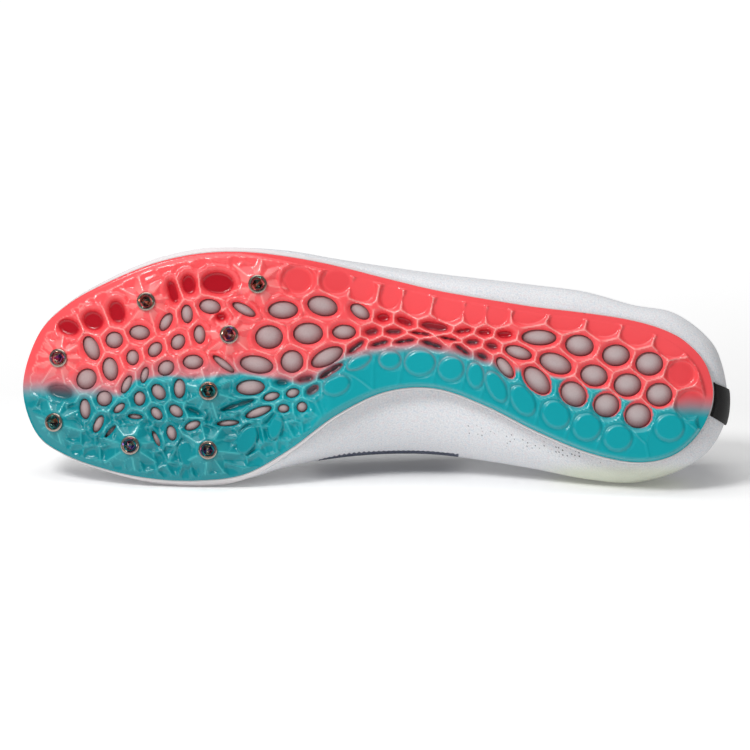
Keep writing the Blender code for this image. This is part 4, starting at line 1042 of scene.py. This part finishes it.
class SHOE_OT_plate(bpy.types.Operator):
    """Moulded spike plate with its honeycomb of windows, pockets, coins and starry bosses"""
    bl_idname = "shoe.plate"
    bl_label = "Spike plate"

    def execute(self, context):
        sizes = context.scene.shoe_sizes
        points, triangles = plate_grid(sizes.plate_step)
        rise, painted_shade, crest_highlight, flank = plate_relief(points)
        # Face, a wall down from its borders, and a coarser back
        count = len(points)
        rim = border_edges(triangles)
        border, rim_wall = np.unique(rim, return_inverse=True)
        rim_wall = rim_wall.reshape(-1, 2) + count
        rear, rear_faces = plate_grid(sizes.rear_step)
        chart = np.vstack((points, points[border], rear))
        lift = np.zeros(len(chart))
        lift[:count] = SKIN + rise
        solid = placed(chart, plate_back(chart) - lift)
        corners = np.hstack((rim, rim_wall))
        faces = np.concatenate((triangles, corners[:, [0, 2, 3]], corners[:, [0, 3, 1]],
                                rear_faces[:, ::-1] + count + len(border)))

        # Share of coral: how far the line between the colours shifts, and how softly it blends
        x, y = points.T
        border_y = colour_border(x)
        shift = 24.0 * smooth((x - 490) / 40) * flank * smooth((700 - x) / 20)
        blend = (6.0 + 22.0 * smooth((x - 665) / 22) + 14.0 * smooth((125 - x) / 40)
                 + 10.0 * smooth((x - 290) / 30) * smooth((540 - x) / 60))
        coral = smooth((border_y + shift - y) / blend + 0.5)
        coral = coral + (0.68 - coral) * arch_share(points) * smooth(painted_shade / 0.5)
        coral = coral * (1.0 - 0.36 * smooth(1.0 - (border_y - y) / 24) * smooth((330 - x) / 40))
        hidden = len(chart) - count - len(border)
        # Painted shade: 0.6 on the wall down from the borders and 1 on the hidden back; painted highlight
        # only on the face
        marks = {"painted_shade": np.concatenate((painted_shade, np.full(len(border), 0.6), np.ones(hidden))),
                 "crest_highlight": np.concatenate((crest_highlight, np.zeros(len(chart) - count))),
                 "coral_share": np.concatenate((coral, coral[border], np.ones(hidden)))}
        piece = add_piece("spike_plate", lying(solid), faces, plate_look(context.scene.shoe_colours),
                          ["outsole_plate"], marks)
        # The edges at the top and the foot of the wall are sharp
        edges = np.zeros(len(piece.data.edges) * 2, int)
        piece.data.edges.foreach_get("vertices", edges)
        edges = np.sort(edges.reshape(-1, 2), axis=1)
        sides = np.sort(np.vstack((rim, rim_wall)), axis=1)
        sharp = piece.data.attributes.new("sharp_edge", "BOOLEAN", "EDGE")
        sharp.data.foreach_set("value", np.isin(edges @ (len(chart), 1), sides @ (len(chart), 1)))
        return {"FINISHED"}


def closed_slab(ring_low, ring_high, low, high, bottom_columns, top_columns):
    """Points and faces of a slab: grids below and above, joined by its side, with pointed ends.

    Rings are chart rings of its lower and upper edge, low and high give the heights of its faces. Row i
    of a grid runs from its ring's point i to point -i.
    """
    half = len(ring_low) // 2
    i = np.arange(1, half)
    points, faces, edges, start = [], [], [], 0
    for ring, height, columns in ((ring_low, low, bottom_columns), (ring_high, high, top_columns)):
        share = np.linspace(0.0, 1.0, columns)[None, :, None]
        flat = ring[i][:, None, :] * (1 - share) + ring[-i][:, None, :] * share
        flat = np.concatenate((flat.reshape(-1, 2), ring[[0, half]]))
        points.append(placed(flat, height(flat)))
        quads = grid_faces(half - 1, columns, start=start)
        heel, toe = start + (half - 1) * columns, start + (half - 1) * columns + 1
        first = start + np.arange(columns - 1)
        last = first + (half - 2) * columns
        faces.append(np.concatenate((
            quads[:, [0, 1, 2]], quads[:, [0, 2, 3]],
            np.stack((first, first + 1, np.full_like(first, heel)), -1),
            np.stack((last + 1, last, np.full_like(last, toe)), -1))))
        left = start + (i - 1) * columns
        edges.append(np.concatenate(([heel], left, [toe], left[::-1] + columns - 1)))
        start = toe + 1
    faces[1] = faces[1][:, ::-1]
    (a, b), (c, d) = edges, np.roll(edges, -1, axis=1)
    faces += [np.stack((a, b, d), -1), np.stack((a, d, c), -1)]
    return np.vstack(points), np.concatenate(faces)


def window_share(points):
    """Distance from the nearest window's middle as a share of its reach, and its half width."""
    windows = np.array(WINDOWS)[nearest_cells(points, WINDOWS)[1]].T
    return cell_share(points, windows, 0.9), windows[3]


class SHOE_OT_foam(bpy.types.Operator):
    """Foam midsole that swells a little into the plate's windows and shows as a fine lip round it"""
    bl_idname = "shoe.foam"
    bl_label = "Foam midsole"

    def execute(self, context):
        swell = context.scene.shoe_sizes.foam_swell
        edge, foam = fold_columns(FOAM_ROUND)[:2]
        lip = edge + outward(edge) * np.minimum(1.0, np.linalg.norm(foam - edge, axis=1))[:, None]

        def bottom(points):
            share, wide = window_share(points)
            dome = swell * smooth(wide / 5.0) * np.clip(1.0 - share**2, 0.0, 1.0) ** 0.5
            return plate_back(points) + GAP - dome

        points, faces = closed_slab(lip, foam, bottom, foam_top, 160, 9)
        chart = charted(points)
        # Painted shade marks: foam under the plate, and foam that dips behind a window, shifted towards
        # each window's lower side
        hidden = smooth((to_ring(chart, PLATE_EDGE)[0] - 1.0) / 2.0)
        lower = chart + np.array((0.10, 0.28)) * window_share(chart)[1][:, None]
        dip = smooth((window_share(lower)[0] - 0.25) / 0.95)
        add_piece("foam_midsole", lying(points), faces, foam_look(context.scene.shoe_colours),
                  ["midsole"], {"shade_under_plate": hidden, "dip": dip}, angle=50)
        return {"FINISHED"}


class SHOE_OT_upper(bpy.types.Operator):
    """Knitted upper: one lasted shell with a padded collar, a saddle patch and rows of pinholes"""
    bl_idname = "shoe.upper"
    bl_label = "Upper"

    def execute(self, context):
        grid, _, inner = upper_walls(UPPER_ROUND, UNDER, OVER)
        half = np.linspace(0, np.pi, 7)[1:-1, None, None]
        radius = (grid[-1] - inner[-1]) / 2
        up = unit(grid[-1] - grid[-2]) * np.linalg.norm(radius, axis=1)[:, None] * 0.8
        cap = (grid[-1] + inner[-1]) / 2 + radius * np.cos(half) + up * np.sin(half)
        # Inside every third ring is enough
        rows = np.concatenate((grid, cap, inner[::-3]))
        faces = grid_faces(len(rows), UPPER_ROUND, wrap=True, closed=True)
        u, v = lengths(grid[len(UNDER) - 1]), lengths(rows)
        x, y = np.moveaxis(charted(rows), -1, 0)
        ring = np.arange(len(rows))[:, None]
        outside = ring < len(grid) + 3
        # Saddle patch: chart units inside its lower line and its two slanted ends
        low = 452.6 + 8.2 * np.clip((395 - x) / 73, 0, 1) ** 3 + 3.1 * np.clip((x - 400) / 48, 0, 1) ** 2
        past = (ring >= len(UNDER) - 2) & (y > CHART_AXIS)
        reach = np.where(past, 8.0, y - low)
        ends = np.minimum(x - 318 - 0.10 * (y - low), 460 - x - 0.35 * (y - low))
        saddle = np.where(outside, np.clip(np.minimum(reach, ends), -20, 8), -20.0) * UNIT
        warm = 0.75 * smooth((x - 530) / 50) * smooth((715 - x) / 40) * smooth((y - 461) / 14) * outside
        # Pinholes lie in a band along a slanted line
        line = 429 + (x - 465) * 0.235
        pins = smooth((x - 462) / 6) * smooth((612 - x) / 20) * smooth(1.4 - np.abs(y - line) / 5) * ~past
        marks = {"saddle": saddle, "warm": warm, "pinholes": pins,
                 "to_rim": np.where(outside, v[len(grid) - 1] - v, 0.0)}
        look = knit_look("engineered_knit", context.scene.shoe_colours,
                         context.scene.shoe_sizes.knit_pitch, True)
        add_piece("knit_upper", lying(rows), faces, look, ["upper"], marks, (u, v), 60)
        return {"FINISHED"}


class SHOE_OT_insole(bpy.types.Operator):
    """Insole that lies on the foam inside the upper"""
    bl_idname = "shoe.insole"
    bl_label = "Insole"

    def execute(self, context):
        _, inward, inner = upper_walls(INSOLE_FINER * FOLD_STEPS, *SOLID_RINGS)
        out = -inward[0]
        reach = np.array([np.einsum("ij,ij->i", ring - inner[0], out) for ring in inner[1:4]])
        lean = np.minimum(reach.min(axis=0), 0.0)[:, None]
        low = inner[0] + out * (lean - GAP)
        high = low + out * INSOLE_SPREAD * np.maximum(reach[0], 0.0)[:, None]
        points, faces = closed_slab(charted(low), charted(high), lambda p: foam_top(p) + 2 * GAP,
                                    lambda p: foam_top(p) + 2 * GAP + INSOLE_THICK, 9, 40)
        look = woven_look("sock_liner_cloth", context.scene.shoe_colours.cloth, 0.0012, 0.9, 0.3)
        add_piece("sock_liner", lying(points), faces, look, ["insole"], angle=50)
        return {"FINISHED"}


class SHOE_OT_tongue(bpy.types.Operator):
    """Padded tongue under the throat's edges, which ends round above the collar"""
    bl_idname = "shoe.tongue"
    bl_label = "Tongue"

    def execute(self, context):
        _, inward, inner = upper_walls(FOLD_STEPS, *SOLID_RINGS)
        tucked = inner + inward * GAP

        def narrowed(four, width):
            middle = four.mean(axis=0)[1]
            return np.column_stack((four[:, 0], middle + (four[:, 1] - middle) * width, four[:, 2]))

        sides = []
        for i in range(TONGUE_FRONT, THROAT_START - 1, -1):
            j = (FOLD_STEPS - i) % FOLD_STEPS
            four = np.array((tucked[-2, i], tucked[-1, i], tucked[-1, j], tucked[-2, j]))
            sides.append(narrowed(four, TONGUE_NECK[i - THROAT_START]) if i < FIRST_EYELET else four)
        last = sides[-1]
        for back, up, width in TONGUE_TOP:
            sides.append(narrowed(last, width) + (TONGUE_BACK * back, 0.0, TONGUE_RISE * up))
        sides = smooth_rows(sides, TONGUE_ROWS)
        share = np.linspace(0, 1, 25)[None, :, None]
        a, b, c, d = (sides[:, k][:, None, :] for k in range(4))
        crown = np.array((0.0, 0.0, WALL + GAP)) * 4 * share * (1 - share)
        top = b + (c - b) * share + crown
        low = top - np.array((0.0, 0.0, TONGUE_THICK))
        top, low = np.concatenate((a, top, d), axis=1), np.concatenate((a, low, d), axis=1)
        low[:, [0, -1], 2] -= TONGUE_THICK
        sections = np.concatenate((top, low[:, ::-1]), axis=1)
        points, faces = tube(sections)
        uv = lengths(sections[:, 12])[:, None], lengths(sections, axis=1)
        look = knit_look("padded_tongue_knit", context.scene.shoe_colours,
                         context.scene.shoe_sizes.knit_pitch)
        piece = add_piece("padded_tongue", lying(points), faces, look, ["tongue"], uv=uv,
                          angle=50)
        return {"FINISHED"}


def laid_on(line, into, thick):
    """Closed sections of a strip on the upper's face, a gap off its lines of points."""
    under, over = line - into * GAP, line - into * (GAP + thick)
    return np.concatenate((under, over[:, ::-1]), axis=1)


def eyelet_place(grid, inward, fold):
    """Middle of the eyelet on a fold of the solids' rings, and the way out of the upper there."""
    spot = grid[-1, fold] * 0.55 + grid[-2, fold] * 0.45
    return spot, unit(-(inward[-1, fold] + inward[-2, fold]))


class SHOE_OT_eyestay(bpy.types.Operator):
    """Film band round the throat, with its punched and ringed eyelets"""
    bl_idname = "shoe.eyestay"
    bl_label = "Eyestay"

    def execute(self, context):
        folds = np.arange(THROAT_START, FOLD_STEPS - THROAT_START + 1)
        line, into = (smooth_rows(np.moveaxis(rings[:, folds], 1, 0), EYESTAY_ROWS)
                      for rings in upper_face(FOLD_STEPS, (0, 90), np.linspace(0.79, 1.0, 6)))
        sections = laid_on(line, unit(into), EYESTAY_THICK)[:, 2:-2]
        grid, inward = upper_face(FOLD_STEPS, *SOLID_RINGS)
        parts = [(*tube(sections), 0.0, 0.0)]
        for i in range(FIRST_EYELET, LAST_EYELET + 1, EYELET_STEP):
            for fold in (i, FOLD_STEPS - i):
                spot, out = eyelet_place(grid, inward, fold)
                # A painted ring, then a near-black cap over the opening as painted shade
                for profile, dark in ((EYELET_RING, 0.0), (EYELET_HOLE, 1.0)):
                    rings = turned_rings(profile, EYELET_ROUND, spot + out * (GAP + EYESTAY_THICK), out)
                    parts.append((rings.reshape(-1, 3), grid_faces(*rings.shape[:2], wrap=True),
                                  dark, 1.0 - dark))
        points, faces = joined(parts)
        counts = [len(part[0]) for part in parts]
        marks = {"hole_shade": np.repeat([part[2] for part in parts], counts),
                 "eyelet": np.repeat([part[3] for part in parts], counts)}
        add_piece("throat_film", lying(points), faces, film_look(context.scene.shoe_colours),
                  ["eyestay"], marks, angle=40)
        return {"FINISHED"}


class SHOE_OT_heel_tape(bpy.types.Operator):
    """Woven tape up the back seam"""
    bl_idname = "shoe.heel_tape"
    bl_label = "Heel tape"

    def execute(self, context):
        grid, inward = upper_face(TAPE_FINER * FOLD_STEPS, UNDER, OVER)
        folds = np.arange(-9, 5)
        line = grid[:, folds]
        # Thinner along both edges
        body = np.clip((7.5 - np.abs(folds + 2.5)) / 2.0, 0.0, 1.0)[None, :, None]
        points, faces = tube(laid_on(line, inward[:, folds], TAPE_THICK * (0.55 + 0.45 * body)))
        uv = np.concatenate((folds, folds[::-1])) * TAPE_STEP, lengths(line[:, 6])[:, None]
        look = woven_look("grosgrain_tape", context.scene.shoe_colours.tape, 0.0007, 0.7, 0.05, True)
        add_piece("heel_pull_tape", lying(points), faces, look, ["heel_tape"], uv=uv, angle=50)
        return {"FINISHED"}


class SHOE_OT_lace(bpy.types.Operator):
    """Flat woven lace that crosses the throat in bars, from eyelet to eyelet"""
    bl_idname = "shoe.lace"
    bl_label = "Lace"

    def execute(self, context):
        grid, inward = upper_face(FOLD_STEPS, *SOLID_RINGS)
        lift = 2 * GAP + EYESTAY_THICK + LACE_THICK / 2
        share = np.linspace(0, 1, LACE_ROWS)[:, None]
        hump = 4 * share * (1 - share)
        # Near its ends a bar dips into the eyelet and narrows
        dip = smooth((0.10 - np.minimum(share, 1 - share)) / 0.10)
        pinch = 1.0 - 0.50 * dip[:, :, None]
        angle = np.linspace(0, 2 * np.pi, 17)[:-1, None]
        flat = np.sign(np.cos(angle)) * np.abs(np.cos(angle)) ** 0.5 * LACE_WIDTH / 2
        parts = []
        for i in range(LAST_EYELET, FIRST_EYELET - 1, -EYELET_STEP):
            start, out_a = eyelet_place(grid, inward, i)
            end, out_b = eyelet_place(grid, inward, FOLD_STEPS - i)
            out = unit(out_a * (1 - share) + out_b * share + np.array((0, 0, 1.0)) * hump)
            spot = start + (end - start) * share + np.array((0, 0, LACE_ARCH)) * hump
            spot = spot + out * (lift - dip * LACE_DIP)
            run = unit(np.gradient(spot, axis=0))
            side = unit(np.cross(run, out))
            parts.append(tube(spot[:, None, :] + side[:, None, :] * flat * pinch
                              + np.cross(side, run)[:, None, :] * np.sin(angle) * LACE_THICK / 2))
        points, faces = joined(parts)
        look = woven_look("flat_polyester_lace", context.scene.shoe_colours.lace, 0.0009, 0.8, 0.4)
        add_piece("flat_lace", lying(points), faces, look, ["lace"], angle=60)
        return {"FINISHED"}


class SHOE_OT_spikes(bpy.types.Operator):
    """Eight turned seats with the pyramid spikes screwed into them"""
    bl_idname = "shoe.spikes"
    bl_label = "Spikes and seats"

    def execute(self, context):
        seat_steel, spike_steel = seat_look(), spike_look()
        seat_faces = grid_faces(len(SEAT_RING), SEAT_ROUND, wrap=True, closed=True)
        # Six-sided foot, then 12 facets that share no point, so each has one colour
        foot_faces, foot_points = grid_faces(3, 6, wrap=True), 18
        spike_faces = np.concatenate((foot_faces, foot_points + np.arange(48).reshape(-1, 4)))
        for number, spot in enumerate(SPIKES, 1):
            origin, out = seat_frame(spot)
            rings = turned_rings(SEAT_RING, SEAT_ROUND, origin, out)
            add_piece(f"seat_ring_{number}", lying(rings), seat_faces, seat_steel,
                      [f"spike_seat_{number}"], angle=30)
            rings = turned_rings(FOOT_RINGS, 6, origin, out)
            corner, middle = rings[-1], origin + out * SPIKE_FOOT
            waist = corner * 0.86 + middle * 0.14 + out * 0.0003
            tip = corner * 0.03 + middle * 0.97 + out * (SPIKE_LENGTH - SPIKE_FOOT)
            parts = [np.stack((low, np.roll(low, -1, 0), np.roll(high, -1, 0), high), 1).reshape(-1, 3)
                     for low, high in ((corner, waist), (waist, tip))]
            points = np.vstack((rings.reshape(-1, 3), *parts))
            # Each facet's colour: oxide hues and painted reflections
            hue = np.tile(((np.arange(6) * 2 + number) % 6) / 5, 2)
            marks = {"facet": np.concatenate((np.zeros(foot_points), np.repeat(hue, 4)))}
            add_piece(f"pyramid_spike_{number}", lying(points), spike_faces, spike_steel,
                      [f"spike_{number}"], marks, angle=25)
        return {"FINISHED"}


# Half width of the floor in metres, width of the camera's sensor in millimetres, and the chart point in
# the middle of the view
FLOOR_HALF, SENSOR_WIDTH = 9.0, 36.0
VIEW_MIDDLE = (375.0, 375.0)


class SHOE_OT_stage(bpy.types.Operator):
    """Pale floor, soft lights and the camera, square to the sole"""
    bl_idname = "shoe.stage"
    bl_label = "Stage"

    def execute(self, context):
        stage = context.scene.shoe_stage
        mesh = bpy.data.meshes.new("studio_floor")
        corners = ((-1, -1), (1, -1), (1, 1), (-1, 1))
        mesh.from_pydata([(x * FLOOR_HALF, y * FLOOR_HALF, 0) for x, y in corners], [], [(0, 1, 2, 3)])
        floor = bpy.data.objects.new("studio_floor", mesh)
        context.collection.objects.link(floor)
        mesh.materials.append(paper_look())

        world = context.scene.world or bpy.data.worlds.new("studio")
        context.scene.world = world
        world.use_nodes = True
        sky = world.node_tree.nodes["Background"]
        sky.inputs["Color"].default_value = (1, 1, 1, 1)
        sky.inputs["Strength"].default_value = stage.sky

        # Seen from below: heel to the right, outer side up, and the sole towards the camera
        right, up, out = TURN[:, 0], -TURN[:, 1], -TURN[:, 2]
        target = lying(placed(VIEW_MIDDLE, 0.0015))[0]
        camera = bpy.data.cameras.new("camera")
        camera.sensor_width = SENSOR_WIDTH
        camera.lens = SENSOR_WIDTH * stage.distance / stage.view_width
        camera.clip_end = 50.0
        viewer = bpy.data.objects.new("camera", camera)
        turn = Matrix(np.column_stack((right, up, out)).tolist()).to_4x4()
        viewer.matrix_world = Matrix.Translation(Vector(target + out * stage.distance)) @ turn
        context.collection.objects.link(viewer)
        context.scene.camera = viewer
        context.scene.view_settings.view_transform = "Standard"

        for name, place, size, power in (("top_softbox", (-0.10, -0.08, 1.10), 1.0, stage.key),
                                         ("front_softbox", (-0.55, -0.85, 0.95), 0.35, stage.front)):
            light = bpy.data.lights.new(name, "AREA")
            light.shape = "SQUARE"
            light.size = size
            light.energy = power
            lamp = bpy.data.objects.new(name, light)
            lamp.location = place
            aim = Vector((0, 0, 0.04)) - Vector(place)
            lamp.rotation_euler = aim.to_track_quat("-Z", "Y").to_euler()
            context.collection.objects.link(lamp)
        return {"FINISHED"}


class VIEW3D_PT_spike_shoe(bpy.types.Panel):
    """Buttons for the shoe's pieces and its stage"""
    bl_label = "Track spike shoe"
    bl_idname = "VIEW3D_PT_spike_shoe"
    bl_space_type = "VIEW_3D"
    bl_region_type = "UI"
    bl_category = "Spike shoe"

    def draw(self, context):
        for operator in STEPS:
            self.layout.operator(operator.bl_idname)
        for group in (context.scene.shoe_sizes, context.scene.shoe_stage, context.scene.shoe_colours):
            for key in group.__annotations__:
                self.layout.prop(group, key)


GROUPS = {"shoe_colours": ShoeColours, "shoe_sizes": ShoeSizes, "shoe_stage": StageSettings}
STEPS = (SHOE_OT_stage, SHOE_OT_plate, SHOE_OT_foam, SHOE_OT_upper, SHOE_OT_insole, SHOE_OT_tongue,
         SHOE_OT_eyestay, SHOE_OT_heel_tape, SHOE_OT_lace, SHOE_OT_spikes)


def register():
    for made in (*GROUPS.values(), *STEPS, VIEW3D_PT_spike_shoe):
        bpy.utils.register_class(made)
    for name, group in GROUPS.items():
        setattr(bpy.types.Scene, name, bpy.props.PointerProperty(type=group))


def unregister():
    for name in GROUPS:
        delattr(bpy.types.Scene, name)
    for made in (VIEW3D_PT_spike_shoe, *reversed(STEPS), *GROUPS.values()):
        bpy.utils.unregister_class(made)


def main():
    register()
    for step in STEPS:
        family, action = step.bl_idname.split(".")
        getattr(getattr(bpy.ops, family), action)()


if __name__ == "__main__":
    main()
